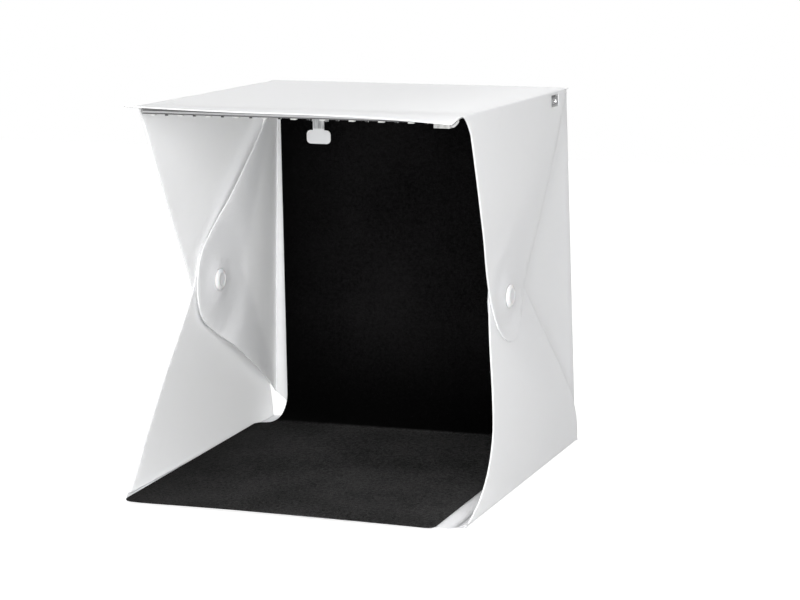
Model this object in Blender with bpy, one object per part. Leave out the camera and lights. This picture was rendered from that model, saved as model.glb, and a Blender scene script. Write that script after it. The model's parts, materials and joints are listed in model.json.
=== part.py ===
"""Fold-flat light tent cube: creased plastic sheet, snapped side flaps, a strip of lights and a backdrop.

Metres, +Z up. The opening faces -Y and the back panel stands at +Y.
The origin is the middle of the base panel's underside.
"""

import math

import bmesh
import bpy
from mathutils import Matrix, Vector

# Plastic sheet
sheet_thickness = 0.0008
fold_gap = 0.0003
base_width = 0.226
base_depth = 0.237
base_corner_radius = 0.010
base_corner_steps = 6
box_height = 0.240
top_width = 0.213
top_depth = 0.230
lip_depth = 0.018
lip_lift_left = 0.0018
lip_droop_right = 0.0034
lip_curl_power = 2.2
lip_cells = 10
lip_corner_radius = 0.0025
back_edge_inset = 0.0015
back_notch_width = 0.0145
back_notch_height = 0.009
top_rise_degrees = 1.2

# Side flaps, which meet at a press stud in the middle of each side
snap_height = 0.120
snap_from_back = 0.117
snap_half_width = 0.103
layer_pitch = 0.0022
tip_radius = 0.028
tip_steps = 14
seat_radius = 0.009
shared_radius = 0.033
blend_radius = 0.055
flap_cell = 0.0115
flare_steps = 6
top_flap_front_inset = 0.0025
top_flap_back_inset = 0.007
top_flap_front_line = 0.008
top_flap_flare_depth = 0.012
top_flap_flare_run = 0.0065
top_flap_flare_drop = 0.003
top_flap_lean_front = -0.0015
top_flap_lean_back = 0.005
bottom_flap_front_inset = 0.009
bottom_flap_back_inset = 0.0018
bottom_flap_front_line = 0.024
bottom_flap_flare_height = 0.049
bottom_flap_flare_run = 0.022
bottom_flap_flare_rise = 0.008
bottom_flap_back_overrun = 0.016
bottom_flap_back_height = 0.040
bottom_flap_lean_front = 0.032
bottom_flap_lean_back = 0.008
bottom_flap_pull_front = -0.021
bottom_flap_pull_back = -0.006
back_flap_foot = 0.0188
back_flap_head = 0.0035
back_flap_lean = -0.026

# Press studs
cap_radius = 0.0075
cap_height = 0.0022
cap_rim = 0.0007
cap_dish_radius = 0.0048
cap_dish_depth = 0.0004
prong_radius = 0.0012
prong_hole_radius = 0.0016
socket_radius = 0.0052
socket_height = 0.0020
socket_bore_radius = 0.0023
socket_floor = 0.0005
socket_chamfer = 0.0005
stud_flange_radius = 0.0040
stud_flange = 0.0007
stud_radius = 0.0019
stud_reach = 0.0011
stud_hole_depth = 0.0008
middle_hole_radius = 0.0066
seat_gap = 0.0003
snap_steps = 24

# Strip of lights under the front of the top panel
strip_front_inset = 0.0018
strip_width = 0.008
strip_left_inset = 0.003
strip_right_inset = 0.0085
tape_thickness = 0.0016
board_thickness = 0.0020
led_count = 10
led_pitch = 0.0189
led_first_inset = 0.0085
led_length = 0.0035
led_width = 0.0028
led_height = 0.0008
led_rim = 0.0004
led_recess = 0.0002
resistor_length = 0.0020
resistor_width = 0.0012
resistor_height = 0.0006
plug_length = 0.0100
plug_width = 0.0045
plug_height = 0.0028
plug_right_inset = 0.0005
pin_size = 0.0016
pin_pitch = 0.0040
pin_depth = 0.0015

# Power socket at the back of the right side, seen through a window in the top flap
window_length = 0.0156
window_height = 0.0077
window_drop = 0.0013
window_from_back = 0.031
socket_box_gap = 0.0008
socket_box_depth = 0.0088
socket_box_nose = 0.0011
socket_face_recess = 0.0003
shell_length = 0.0075
shell_height = 0.0026
shell_wall = 0.0003
shell_depth = 0.0050
shell_corner = 0.0006
tongue_length = 0.0046
tongue_height = 0.0006
cavity_extra = 0.0006
lead_radius = 0.0008
lead_drop = 0.0014
lead_inset = 0.0052
lead_curl = 0.0026
lead_points = 60

# Backdrop sheet, folded across the floor, and the two hooks that hold it
backdrop_thickness = 0.0006
mat_front_left_inset = 0.0048
mat_front_right_inset = 0.0170
mat_back_left_inset = 0.0014
mat_back_right_inset = 0.0190
mat_overhang_left = 0.0070
mat_overhang_right = 0.0040
mat_front_radius = 0.006
mat_back_radius = 0.010
crease_from_back_left = 0.0290
crease_from_back_right = 0.0205
wall_head_drop = 0.0195
wall_foot_left_inset = 0.0132
wall_foot_right_inset = 0.0195
wall_head_left_inset = 0.0122
wall_head_right_inset = 0.0150
wall_head_radius = 0.004
wall_back_gap = 0.0040
wall_foot_rise = 0.018
wall_toe_rise = 0.004
wall_foot_steps = 8
hook_spacing_share = 0.667
hook_stem_width = 0.0106
hook_head_width = 0.0193
hook_head_height = 0.0105
hook_head_radius = 0.0025
hook_pad_height = 0.010
hook_bend_radius = 0.0010
hook_bridge = 0.0022
hook_hang = 0.0165
hook_level = 0.0245
slit_width = 0.0130
slit_height = 0.0045
corner_steps = 6

# Places worked out from the sizes
back_y = base_depth / 2
front_y = -base_depth / 2
base_half = base_width / 2
top_half = top_width / 2
inner_back_y = back_y - sheet_thickness
top_under_z = box_height - sheet_thickness
top_front_y = back_y - top_depth
crease_y = top_front_y + lip_depth
half_gap = fold_gap / 2
floor_z = sheet_thickness + fold_gap
snap_y = back_y - snap_from_back
snap_z = snap_height
overrun = tip_radius
mat_front_left = base_half - mat_front_left_inset
mat_front_right = base_half - mat_front_right_inset
mat_back_left = base_half - mat_back_left_inset
mat_back_right = base_half - mat_back_right_inset
wall_height = box_height - wall_head_drop
wall_foot_left = base_half - wall_foot_left_inset
wall_foot_right = base_half - wall_foot_right_inset
wall_head_left = base_half - wall_head_left_inset
wall_head_right = base_half - wall_head_right_inset
hook_half_spacing = top_half * hook_spacing_share


def clear_scene():
    for item in list(bpy.data.objects):
        bpy.data.objects.remove(item, do_unlink=True)


def make_material(name, color, roughness, metallic=0.0):
    material = bpy.data.materials.new(name)
    material.use_nodes = True
    shader = material.node_tree.nodes["Principled BSDF"]
    shader.inputs["Base Color"].default_value = (*color, 1.0)
    shader.inputs["Roughness"].default_value = roughness
    shader.inputs["Metallic"].default_value = metallic
    return material


def make_empty(name, place, parent=None):
    """An empty on a fold line; what it carries turns with it."""
    empty = bpy.data.objects.new(name, None)
    bpy.context.scene.collection.objects.link(empty)
    empty.empty_display_size = tip_radius
    hang(empty, Vector(place), parent)
    return empty


def hang(item, place, parent):
    """Puts an object at a place given in the upright box, and lets its parent carry it from there."""
    item.location = place
    item["upright_place"] = tuple(place)
    if parent is not None:
        item.parent = parent
        item.matrix_parent_inverse = Matrix.Translation(-Vector(parent["upright_place"]))


def finish(name, bm, parent, material, smooth=False, place=None):
    """Makes the object of a mesh that was drawn in the upright box."""
    origin = Vector(parent["upright_place"]) if place is None else Vector(place)
    bmesh.ops.translate(bm, verts=bm.verts, vec=-origin)
    mesh = bpy.data.meshes.new(name)
    bm.to_mesh(mesh)
    bm.free()
    mesh.materials.append(material)
    if smooth:
        mesh.shade_smooth()
        mesh.set_sharp_from_angle(angle=math.radians(35))
    item = bpy.data.objects.new(name, mesh)
    bpy.context.scene.collection.objects.link(item)
    hang(item, origin, parent)
    return item


def blend(start, end, share):
    return start + (end - start) * share


def arc(center, radius, start, end, steps):
    """Points of an arc in a plane, from one angle to another."""
    points = []
    for step in range(steps + 1):
        angle = blend(start, end, step / steps)
        points.append((center[0] + radius * math.cos(angle), center[1] + radius * math.sin(angle)))
    return points


def rounded(corners, steps):
    """A closed outline whose corners, given as (across, along, radius), are rounded off."""
    points = []
    for index, (across, along, radius) in enumerate(corners):
        here = Vector((across, along))
        if radius == 0:
            points.append(tuple(here))
            continue
        before = (Vector(corners[index - 1][:2]) - here).normalized()
        after = (Vector(corners[(index + 1) % len(corners)][:2]) - here).normalized()
        half_angle = before.angle(after) / 2
        middle = here + (before + after).normalized() * radius / math.sin(half_angle)
        first = here + before * radius / math.tan(half_angle) - middle
        last = here + after * radius / math.tan(half_angle) - middle
        start = math.atan2(first.y, first.x)
        turn = math.atan2(first.x * last.y - first.y * last.x, first.dot(last))
        points += arc(middle, radius, start, start + turn, steps)
    return points


def curve(start, control, end, steps):
    """Points of a curve that leaves start towards the control point and arrives from it at end."""
    points = []
    for step in range(steps + 1):
        share = step / steps
        first = [blend(a, b, share) for a, b in zip(start, control)]
        second = [blend(a, b, share) for a, b in zip(control, end)]
        points.append(tuple(blend(a, b, share) for a, b in zip(first, second)))
    return points


def drawn_face(points, to_space):
    """A mesh that holds one flat face."""
    bm = bmesh.new()
    bm.faces.new([bm.verts.new(to_space(*point)) for point in points])
    return bm


def plate(points, to_space, through):
    """A closed plate: an outline pushed through by a vector."""
    bm = drawn_face(points, to_space)
    pushed = bmesh.ops.extrude_face_region(bm, geom=bm.faces[:])
    moved = [part for part in pushed["geom"] if isinstance(part, bmesh.types.BMVert)]
    bmesh.ops.translate(bm, verts=moved, vec=through)
    bmesh.ops.recalc_face_normals(bm, faces=bm.faces)
    return bm


def block(low, high):
    """A closed block between two corners."""
    bm = bmesh.new()
    bmesh.ops.create_cube(bm, size=1.0)
    low = Vector(low)
    high = Vector(high)
    size = high - low
    bmesh.ops.scale(bm, verts=bm.verts, vec=size)
    bmesh.ops.translate(bm, verts=bm.verts, vec=(low + high) / 2)
    return bm


def slice_mesh(bm, axis, places):
    """Cuts a mesh across at each place along an axis."""
    normal = Vector((0, 0, 0))
    normal[axis] = 1
    for place in places:
        point = Vector((0, 0, 0))
        point[axis] = place
        geometry = bm.verts[:] + bm.edges[:] + bm.faces[:]
        bmesh.ops.bisect_plane(bm, geom=geometry, plane_co=point, plane_no=normal)


def push_faces(bm, chosen, offset):
    """Extrudes each chosen face by itself."""
    pushed = bmesh.ops.extrude_discrete_faces(bm, faces=chosen)
    for face in pushed["faces"]:
        bmesh.ops.translate(bm, verts=face.verts, vec=offset)
    return pushed["faces"]


def turned(profile):
    """A round piece about the X axis from its (along, radius) profile, whose ends lie on the axis."""
    bm = bmesh.new()
    verts = [bm.verts.new((along, 0, radius)) for along, radius in profile]
    edges = [bm.edges.new(pair) for pair in zip(verts, verts[1:])]
    bmesh.ops.spin(
        bm,
        geom=verts + edges,
        cent=(0, 0, 0),
        axis=(1, 0, 0),
        angle=2 * math.pi,
        steps=snap_steps,
        use_merge=True,
    )
    bmesh.ops.remove_doubles(bm, verts=bm.verts, dist=cap_dish_depth / 50)
    bmesh.ops.recalc_face_normals(bm, faces=bm.faces)
    return bm


def cut(item, name, bm, parent):
    """Takes a cutter's shape out of an object; the cutter itself isn't part of the model."""
    cutter = finish(name, bm, parent, item.data.materials[0])
    cutter.hide_render = True
    cutter.display_type = "WIRE"
    modifier = item.modifiers.new(name, "BOOLEAN")
    modifier.operation = "DIFFERENCE"
    modifier.solver = "EXACT"
    modifier.object = cutter


def wall_half(height):
    """Half the box's width at a height, between the base and the narrower top."""
    return blend(base_half, top_half, height / box_height)


def base_panel(parent, material):
    points = rounded(
        [
            (-base_half, front_y, base_corner_radius),
            (base_half, front_y, base_corner_radius),
            (base_half, back_y, 0),
            (-base_half, back_y, 0),
        ],
        base_corner_steps,
    )
    bm = plate(points, lambda x, y: (x, y, 0), (0, 0, sheet_thickness))
    finish("base_panel", bm, parent, material)


def back_panel(parent, material):
    foot = floor_z
    head = top_under_z - fold_gap
    notch_half = base_half - back_notch_width
    edge_half = wall_half(back_flap_foot) - back_edge_inset
    head_half = wall_half(head) - back_edge_inset
    right = [
        (notch_half, foot),
        (notch_half, back_notch_height),
        (edge_half, back_flap_foot),
        (head_half, head),
    ]
    points = right + [(-x, z) for x, z in reversed(right)]
    bm = plate(points, lambda x, z: (x, inner_back_y, z), (0, sheet_thickness, 0))
    finish("back_panel", bm, parent, material)


def top_panel(parent, material):
    low = (-top_half, crease_y + half_gap, top_under_z)
    finish("top_panel", block(low, (top_half, back_y, box_height)), parent, material)


def front_lip(parent, material):
    """The strip of sheet before the crease, curled up at its left end and down at its right end."""
    rear = crease_y - half_gap
    points = rounded(
        [
            (-top_half, top_front_y, lip_corner_radius),
            (top_half, top_front_y, lip_corner_radius),
            (top_half, rear, 0),
            (-top_half, rear, 0),
        ],
        corner_steps,
    )
    bm = plate(points, lambda x, y: (x, y, top_under_z), (0, 0, sheet_thickness))
    slice_mesh(bm, 0, [blend(-top_half, top_half, n / lip_cells) for n in range(1, lip_cells)])
    slice_mesh(bm, 1, [blend(top_front_y, rear, n / 4) for n in range(1, 4)])
    bmesh.ops.triangulate(bm, faces=bm.faces)
    for vert in bm.verts:
        forward = (rear - vert.co.y) / (rear - top_front_y)
        aside = vert.co.x / top_half
        curl = lip_droop_right if aside > 0 else -lip_lift_left
        vert.co.z -= curl * abs(aside) ** lip_curl_power * forward**2
    finish("front_lip", bm, parent, material)


def tangent_angle(point, center, side):
    """The angle, seen from a circle's middle, at which a line from the point touches the flap's round tip."""
    toward = Vector(point) - Vector(center)
    return math.atan2(toward.y, toward.x) + side * math.acos(tip_radius / toward.length)


def flap_outline(first, last, center, side):
    """From one root point round the tip to the other root point."""
    start = tangent_angle(first, center, side)
    end = tangent_angle(last, center, -side)
    while side * (end - start) < 0:
        end += side * 2 * math.pi
    return arc(center, tip_radius, start, end, tip_steps)


def eased(start, end, lean, pull, share):
    """From start to end, leaving with one slope and arriving with another."""
    share = min(max(share, 0), 1)
    return (
        blend(start, end, 3 * share**2 - 2 * share**3)
        + lean * (share - 2 * share**2 + share**3)
        + pull * (share**3 - share**2)
    )


def smooth_share(value, start, end):
    """From 0 at start to 1 at end, level at both."""
    share = min(max((value - start) / (end - start), 0), 1)
    return 3 * share**2 - 2 * share**3


def top_bow(y, z):
    """How far the outer face of the top flap stands off from its flat place at the stud."""
    root_z = top_under_z - fold_gap
    front = crease_y + top_flap_front_inset
    back = back_y - top_flap_back_inset
    lean = blend(top_flap_lean_front, top_flap_lean_back, (y - front) / (back - front))
    return eased(top_half - snap_half_width, 0, lean, 0, (root_z - z) / (root_z - snap_z))


def bottom_bow(y, z):
    """The same for the bottom flap."""
    front = front_y + bottom_flap_front_inset
    back = back_y - bottom_flap_back_inset
    share = min(max((y - front) / (back - front), 0), 1)
    lean = blend(bottom_flap_lean_front, bottom_flap_lean_back, share)
    pull = blend(bottom_flap_pull_front, bottom_flap_pull_back, share)
    flat_width = snap_half_width - layer_pitch
    return eased(base_half - flat_width, 0, lean, pull, (z - floor_z) / (snap_z - floor_z))


def shared_bow(y, z):
    """The two outer layers lie on each other round the stud: one bow for both, flat under the caps."""
    bow = bottom_bow(y, z) if z < snap_z else top_bow(y, z)
    away = math.dist((y, z), (snap_y, snap_z))
    return bow * smooth_share(away, seat_radius, shared_radius)


def side_flap(name, side, points, half_width_at, parent, place, material):
    """A bowed sheet whose outer face lies half_width_at(y, z) from the middle of the box."""
    bm = drawn_face(points, lambda y, z: (0, y, z))
    for axis in (1, 2):
        values = [vert.co[axis] for vert in bm.verts]
        cells = max(1, round((max(values) - min(values)) / flap_cell))
        slice_mesh(bm, axis, [blend(min(values), max(values), n / cells) for n in range(1, cells)])
    bmesh.ops.triangulate(bm, faces=bm.faces)
    for vert in bm.verts:
        vert.co.x = side * half_width_at(vert.co.y, vert.co.z)
    bm.normal_update()
    if sum(face.normal.x for face in bm.faces) * side < 0:
        bmesh.ops.reverse_faces(bm, faces=bm.faces)
    flap = finish(name, bm, parent, material, smooth=True, place=place)
    shell = flap.modifiers.new("sheet", "SOLIDIFY")
    shell.thickness = sheet_thickness
    shell.offset = -1
    return flap


def snap_hole(flap, side, center, radius, parent):
    """A round hole through a flap at the stud."""
    bm = turned([(-overrun, 0), (-overrun, radius), (overrun, radius), (overrun, 0)])
    bmesh.ops.translate(bm, verts=bm.verts, vec=(side * snap_half_width, *center))
    cut(flap, flap.name + "_hole", bm, parent)


def top_center():
    """The stud's place in the top panel's own level frame, before the panel is tilted up."""
    pivot = Vector((back_y + half_gap, top_under_z - half_gap))
    reach = Vector((snap_y, snap_z)) - pivot
    rise = math.radians(top_rise_degrees)
    across = reach.x * math.cos(rise) - reach.y * math.sin(rise)
    up = reach.x * math.sin(rise) + reach.y * math.cos(rise)
    return (pivot.x + across, pivot.y + up)


def top_flap(side_name, side, parent, material):
    root_z = top_under_z - fold_gap
    front = crease_y + top_flap_front_inset
    back = back_y - top_flap_back_inset
    center = top_center()
    lift = center[1] - snap_z
    front_line = (front + top_flap_front_line, root_z)
    tip = flap_outline(front_line, (back, root_z), center, 1)
    slope = (tip[0][0] - front_line[0]) / (root_z - tip[0][1])
    flare_end = (front_line[0] + slope * top_flap_flare_depth, root_z - top_flap_flare_depth)
    flare_control = (front + top_flap_flare_run, root_z - top_flap_flare_drop)
    points = curve((front, root_z), flare_control, flare_end, flare_steps)
    points += [*tip, (back, root_z)]

    def half_width_at(y, z):
        return snap_half_width + shared_bow(y, z - lift * (root_z - z) / (root_z - center[1]))

    place = (side * (top_half + half_gap), center[0], top_under_z - half_gap)
    fold = make_empty(side_name + "_top_flap_fold", place, parent)
    flap = side_flap(side_name + "_top_flap", side, points, half_width_at, fold, place, material)
    snap_hole(flap, side, center, prong_hole_radius, fold)
    return flap, fold, center


def bottom_flap(side_name, side, parent, material):
    front = front_y + bottom_flap_front_inset
    back = back_y - bottom_flap_back_inset
    center = (snap_y, snap_z)
    flat_width = snap_half_width - layer_pitch
    front_line = (front + bottom_flap_front_line, floor_z)
    back_line = (back + bottom_flap_back_overrun, floor_z)
    tip = flap_outline(front_line, back_line, center, -1)
    slope = (tip[0][0] - front_line[0]) / (tip[0][1] - floor_z)
    flare_top = (front_line[0] + slope * (bottom_flap_flare_height - floor_z), bottom_flap_flare_height)
    flare_control = (front + bottom_flap_flare_run, floor_z + bottom_flap_flare_rise)
    slope = (tip[-1][0] - back_line[0]) / (tip[-1][1] - floor_z)
    corner_top = (back_line[0] + slope * (bottom_flap_back_height - floor_z), bottom_flap_back_height)
    corner_control = (back, floor_z + (back - back_line[0]) / slope)
    points = curve((front, floor_z), flare_control, flare_top, flare_steps)
    points += tip
    points += curve(corner_top, corner_control, (back, floor_z), flare_steps)

    def half_width_at(y, z):
        return flat_width + shared_bow(y, z)

    place = (side * (base_half + half_gap), snap_y, sheet_thickness + half_gap)
    fold = make_empty(side_name + "_bottom_flap_fold", place, parent)
    flap = side_flap(side_name + "_bottom_flap", side, points, half_width_at, fold, place, material)
    snap_hole(flap, side, center, middle_hole_radius, fold)


def back_flap(side_name, side, parent, material):
    root_y = inner_back_y - fold_gap
    foot = back_flap_foot
    head = box_height - back_flap_head
    center = (snap_y, snap_z)
    reach = root_y - snap_y
    flat_width = snap_half_width - 2 * layer_pitch
    points = [(root_y, foot), *flap_outline((root_y, foot), (root_y, head), center, -1), (root_y, head)]

    def half_width_at(y, z):
        root_width = wall_half(z) - back_edge_inset
        width = eased(root_width, flat_width, back_flap_lean, 0, (root_y - y) / reach)
        pressed = 1 - smooth_share(math.dist((y, z), center), shared_radius, blend_radius)
        return blend(width, flat_width, pressed)

    place = (side * (wall_half(snap_z) - back_edge_inset + half_gap), inner_back_y - half_gap, snap_z)
    fold = make_empty(side_name + "_back_flap_fold", place, parent)
    flap = side_flap(side_name + "_back_flap", side, points, half_width_at, fold, place, material)
    snap_hole(flap, side, center, prong_hole_radius, fold)
    return fold


def dome_profile(reach):
    """Half the outline of a cap: a shallow dished dome and the prong behind it, pointing to -X."""
    rim = [(cap_rim, cap_radius), (0, cap_radius)]
    dome = [
        (cap_height - cap_dish_depth, 0),
        (cap_height - cap_dish_depth, cap_dish_radius * 0.8),
        (cap_height, cap_dish_radius),
        (blend(cap_rim, cap_height, 0.85), blend(cap_dish_radius, cap_radius, 0.6)),
    ]
    return [*dome, *rim, (0, prong_radius), (-reach, prong_radius), (-reach, 0)]


def snap_piece(name, profile, side, along, center, facing, fold, material):
    """A round piece on the stud's axis, its profile's zero at a distance from the middle of the box."""
    bm = turned([(facing * x, radius) for x, radius in profile])
    bmesh.ops.translate(bm, verts=bm.verts, vec=(along, 0, 0))
    bmesh.ops.scale(bm, verts=bm.verts, vec=(side, 1, 1))
    bmesh.ops.translate(bm, verts=bm.verts, vec=(0, *center))
    bmesh.ops.recalc_face_normals(bm, faces=bm.faces)
    finish(name, bm, fold, material, smooth=True)


def outer_snap(side_name, side, fold, center, material):
    """The cap outside the top flap and the socket behind it."""
    reach = seat_gap + sheet_thickness + seat_gap + socket_floor
    outside = snap_half_width + seat_gap
    snap_piece(side_name + "_snap_outer_cap", dome_profile(reach), side, outside, center, 1, fold, material)
    inside = snap_half_width - sheet_thickness - seat_gap
    profile = [
        (0, prong_hole_radius),
        (0, socket_radius),
        (-socket_height + socket_chamfer, socket_radius),
        (-socket_height, socket_radius - socket_chamfer),
        (-socket_height, socket_bore_radius),
        (-socket_floor, socket_bore_radius),
        (-socket_floor, prong_hole_radius),
        (0, prong_hole_radius),
    ]
    snap_piece(side_name + "_snap_socket", profile, side, inside, center, 1, fold, material)


def inner_snap(side_name, side, fold, material):
    """The cap inside the back flap and the stud that it holds on the other side."""
    center = (snap_y, snap_z)
    face = snap_half_width - 2 * layer_pitch
    reach = seat_gap + sheet_thickness + seat_gap + stud_hole_depth - seat_gap
    inside = face - sheet_thickness - seat_gap
    snap_piece(side_name + "_snap_inner_cap", dome_profile(reach), side, inside, center, -1, fold, material)
    profile = [
        (stud_hole_depth, 0),
        (stud_hole_depth, prong_hole_radius),
        (0, prong_hole_radius),
        (0, stud_flange_radius),
        (stud_flange, stud_flange_radius),
        (stud_flange, stud_radius),
        (stud_flange + stud_reach, stud_radius),
        (stud_flange + stud_reach, 0),
    ]
    snap_piece(side_name + "_snap_stud", profile, side, face + seat_gap, center, 1, fold, material)


def light_strip(parent, tape_material, board_material, led_material, plug_material):
    """Adhesive tape, the board with its resistors, a row of lights and the plug at the right end."""
    left = -top_half + strip_left_inset
    right = top_half - strip_right_inset
    front = crease_y + strip_front_inset
    back = front + strip_width
    middle = (front + back) / 2
    tape_top = top_under_z - seat_gap
    tape = block((left, front, tape_top - tape_thickness), (right, back, tape_top))
    finish("strip_tape", tape, parent, tape_material)
    board_top = tape_top - tape_thickness - seat_gap
    board_under = board_top - board_thickness
    first_led = -top_half + led_first_inset
    led_places = [first_led + led_pitch * n for n in range(led_count)]
    strip_board(left, right, front, back, board_top, board_under, led_places, parent, board_material)
    for number, place in enumerate(led_places, 1):
        led(f"led_{number:02d}", place, middle, board_under - seat_gap, parent, led_material)
    return strip_plug(right, front, board_under - seat_gap, parent, plug_material)


def strip_board(left, right, front, back, top, under, led_places, parent, material):
    middle = (front + back) / 2
    bm = block((left, front, under), (right, back, top))
    slice_mesh(bm, 1, [middle - resistor_width / 2, middle + resistor_width / 2])
    resistors = [place + led_pitch / 2 for place in led_places]
    for place in resistors:
        slice_mesh(bm, 0, [place - resistor_length / 2, place + resistor_length / 2])
    seats = []
    for face in bm.faces:
        center = face.calc_center_median()
        near = min(abs(center.x - place) for place in resistors) < resistor_length / 4
        if face.normal.z < -0.5 and near and abs(center.y - middle) < resistor_width / 4:
            seats.append(face)
    push_faces(bm, seats, (0, 0, -resistor_height))
    bmesh.ops.recalc_face_normals(bm, faces=bm.faces)
    finish("strip_board", bm, parent, material)


def led(name, place, middle, top, parent, material):
    """A small package whose underside has a rim round a shallow well."""
    half = Vector((led_length / 2, led_width / 2, 0))
    low = Vector((place, middle, top - led_height)) - half
    bm = block(low, Vector((place, middle, top)) + half)
    well = [face for face in bm.faces if face.normal.z < -0.5]
    bmesh.ops.inset_region(bm, faces=well, thickness=led_rim, use_even_offset=True)
    bmesh.ops.translate(bm, verts=list(well[0].verts), vec=(0, 0, led_recess))
    finish(name, bm, parent, material)


def strip_plug(right, front, top, parent, material):
    """The plug under the strip's right end, with two contact holes in front."""
    high = (right - plug_right_inset, front + plug_width, top)
    low = (high[0] - plug_length, front, top - plug_height)
    middle_x = (low[0] + high[0]) / 2
    middle_z = (low[2] + high[2]) / 2
    bm = block(low, high)
    pins = [middle_x - pin_pitch / 2, middle_x + pin_pitch / 2]
    for place in pins:
        slice_mesh(bm, 0, [place - pin_size / 2, place + pin_size / 2])
    slice_mesh(bm, 2, [middle_z - pin_size / 2, middle_z + pin_size / 2])
    holes = []
    for face in bm.faces:
        center = face.calc_center_median()
        near = min(abs(center.x - place) for place in pins) < pin_size / 4
        if face.normal.y < -0.5 and near and abs(center.z - middle_z) < pin_size / 4:
            holes.append(face)
    push_faces(bm, holes, (0, pin_depth, 0))
    bmesh.ops.recalc_face_normals(bm, faces=bm.faces)
    finish("strip_plug", bm, parent, material)
    return Vector((high[0], (low[1] + high[1]) / 2, middle_z))


def window_middle():
    """The middle of the window along the box and in height."""
    top = top_under_z - fold_gap - window_drop
    return back_y - window_from_back, top - window_height / 2


def socket_window(flap, fold):
    """The window in the right top flap that shows the power socket."""
    y, z = window_middle()
    low = (top_half - overrun, y - window_length / 2, z - window_height / 2)
    high = (top_half + overrun, y + window_length / 2, z + window_height / 2)
    cut(flap, "socket_window", block(low, high), fold)


def power_socket(parent, box_material, shell_material, tongue_material):
    """A small socket under the top panel: a plastic box, a folded metal shell and the contact tongue."""
    y, z = window_middle()
    half_length = window_length / 2 - socket_box_gap
    low_z = z - window_height / 2 + socket_box_gap
    nose_top = z + window_height / 2 - 2 * socket_box_gap
    shelf_top = top_under_z - seat_gap
    face_x = top_half - socket_face_recess
    shelf_x = top_half - sheet_thickness - socket_box_nose
    back_x = face_x - socket_box_depth
    profile = [
        (back_x, low_z),
        (face_x, low_z),
        (face_x, nose_top),
        (shelf_x, nose_top),
        (shelf_x, shelf_top),
        (back_x, shelf_top),
    ]
    through = (0, 2 * half_length, 0)
    box = plate(profile, lambda x, height: (x, y - half_length, height), through)
    item = finish("socket_box", box, parent, box_material, place=(face_x, y, z))
    middle_z = (low_z + nose_top) / 2
    room = cavity_extra / 2
    half_mouth = shell_length / 2 + room
    half_rise = shell_height / 2 + room
    cavity_low = (face_x - shell_depth - room, y - half_mouth, middle_z - half_rise)
    cavity_high = (face_x + overrun, y + half_mouth, middle_z + half_rise)
    cut(item, "socket_cavity", block(cavity_low, cavity_high), parent)
    socket_shell(face_x, y, middle_z, parent, shell_material)
    tongue_low = (face_x - shell_depth + shell_wall + room, y - tongue_length / 2, middle_z)
    tongue_high = (face_x - shell_wall, y + tongue_length / 2, middle_z + tongue_height)
    finish("socket_tongue", block(tongue_low, tongue_high), parent, tongue_material)
    return Vector((top_half - lead_inset, y - half_length, top_under_z - lead_drop))


def shell_outline(y, z, inset):
    half_length = shell_length / 2 - inset
    half_height = shell_height / 2 - inset
    radius = shell_corner - inset
    return rounded(
        [
            (y - half_length, z - half_height, radius),
            (y + half_length, z - half_height, radius),
            (y + half_length, z + half_height, radius),
            (y - half_length, z + half_height, radius),
        ],
        3,
    )


def socket_shell(face_x, y, z, parent, material):
    """A metal cup with a thin wall, open towards the window."""
    through = (-shell_depth, 0, 0)
    bm = plate(shell_outline(y, z, 0), lambda across, up: (face_x, across, up), through)
    shell = finish("socket_shell", bm, parent, material, place=(face_x, y, z))
    hollow = (-shell_depth + shell_wall - overrun, 0, 0)
    inside = shell_outline(y, z, shell_wall)
    inner = plate(inside, lambda across, up: (face_x + overrun, across, up), hollow)
    cut(shell, "shell_hollow", inner, parent)


def smooth_route(corners, count):
    """Evenly shared points on a smooth curve through the corners."""
    points = []
    spans = len(corners) - 1
    for step in range(count + 1):
        span = min(int(step * spans / count), spans - 1)
        share = step * spans / count - span
        before = corners[max(span - 1, 0)]
        start = corners[span]
        end = corners[span + 1]
        after = corners[min(span + 2, spans)]
        points.append(
            0.5
            * (
                2 * start
                + (end - before) * share
                + (2 * before - 5 * start + 4 * end - after) * share**2
                + (3 * start - before - 3 * end + after) * share**3
            )
        )
    return points


def power_lead(start, end, parent, material):
    """The lead from the strip's plug, up in a small curl and back under the top panel to the socket."""
    run_x = end.x
    run_z = top_under_z - lead_drop
    first = start + Vector((seat_gap, 0, 0))
    corners = [
        first,
        first + Vector((lead_curl * 0.6, 0, 0)),
        Vector((run_x, start.y + lead_curl * 0.4, blend(start.z, run_z, 0.5))),
        Vector((run_x, start.y + lead_curl * 2, run_z)),
        Vector((run_x, blend(start.y, end.y, 0.25), run_z)),
        Vector((run_x, blend(start.y, end.y, 0.5), run_z)),
        Vector((run_x, blend(start.y, end.y, 0.75), run_z)),
        end - Vector((0, seat_gap, 0)),
    ]
    origin = Vector(parent["upright_place"])
    route = smooth_route(corners, lead_points)
    data = bpy.data.curves.new("power_lead", "CURVE")
    data.dimensions = "3D"
    data.bevel_depth = lead_radius
    data.bevel_resolution = 2
    data.use_fill_caps = True
    spline = data.splines.new("POLY")
    spline.points.add(len(route) - 1)
    for point, place in zip(spline.points, route):
        point.co = (*(place - origin), 1)
    data.materials.append(material)
    item = bpy.data.objects.new("power_lead", data)
    bpy.context.scene.collection.objects.link(item)
    hang(item, origin, parent)


def backdrop_floor(parent, material):
    """The part of the backdrop that lies on the base, a little askew and off centre."""
    points = rounded(
        [
            (-mat_front_left, front_y - mat_overhang_left, mat_front_radius),
            (mat_front_right, front_y - mat_overhang_right, mat_front_radius),
            (mat_back_right, back_y - crease_from_back_right, 0),
            (-mat_back_left, back_y - crease_from_back_left, mat_back_radius),
        ],
        corner_steps,
    )
    bm = plate(points, lambda x, y: (x, y, floor_z), (0, 0, backdrop_thickness))
    finish("backdrop_floor", bm, parent, material)


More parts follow.
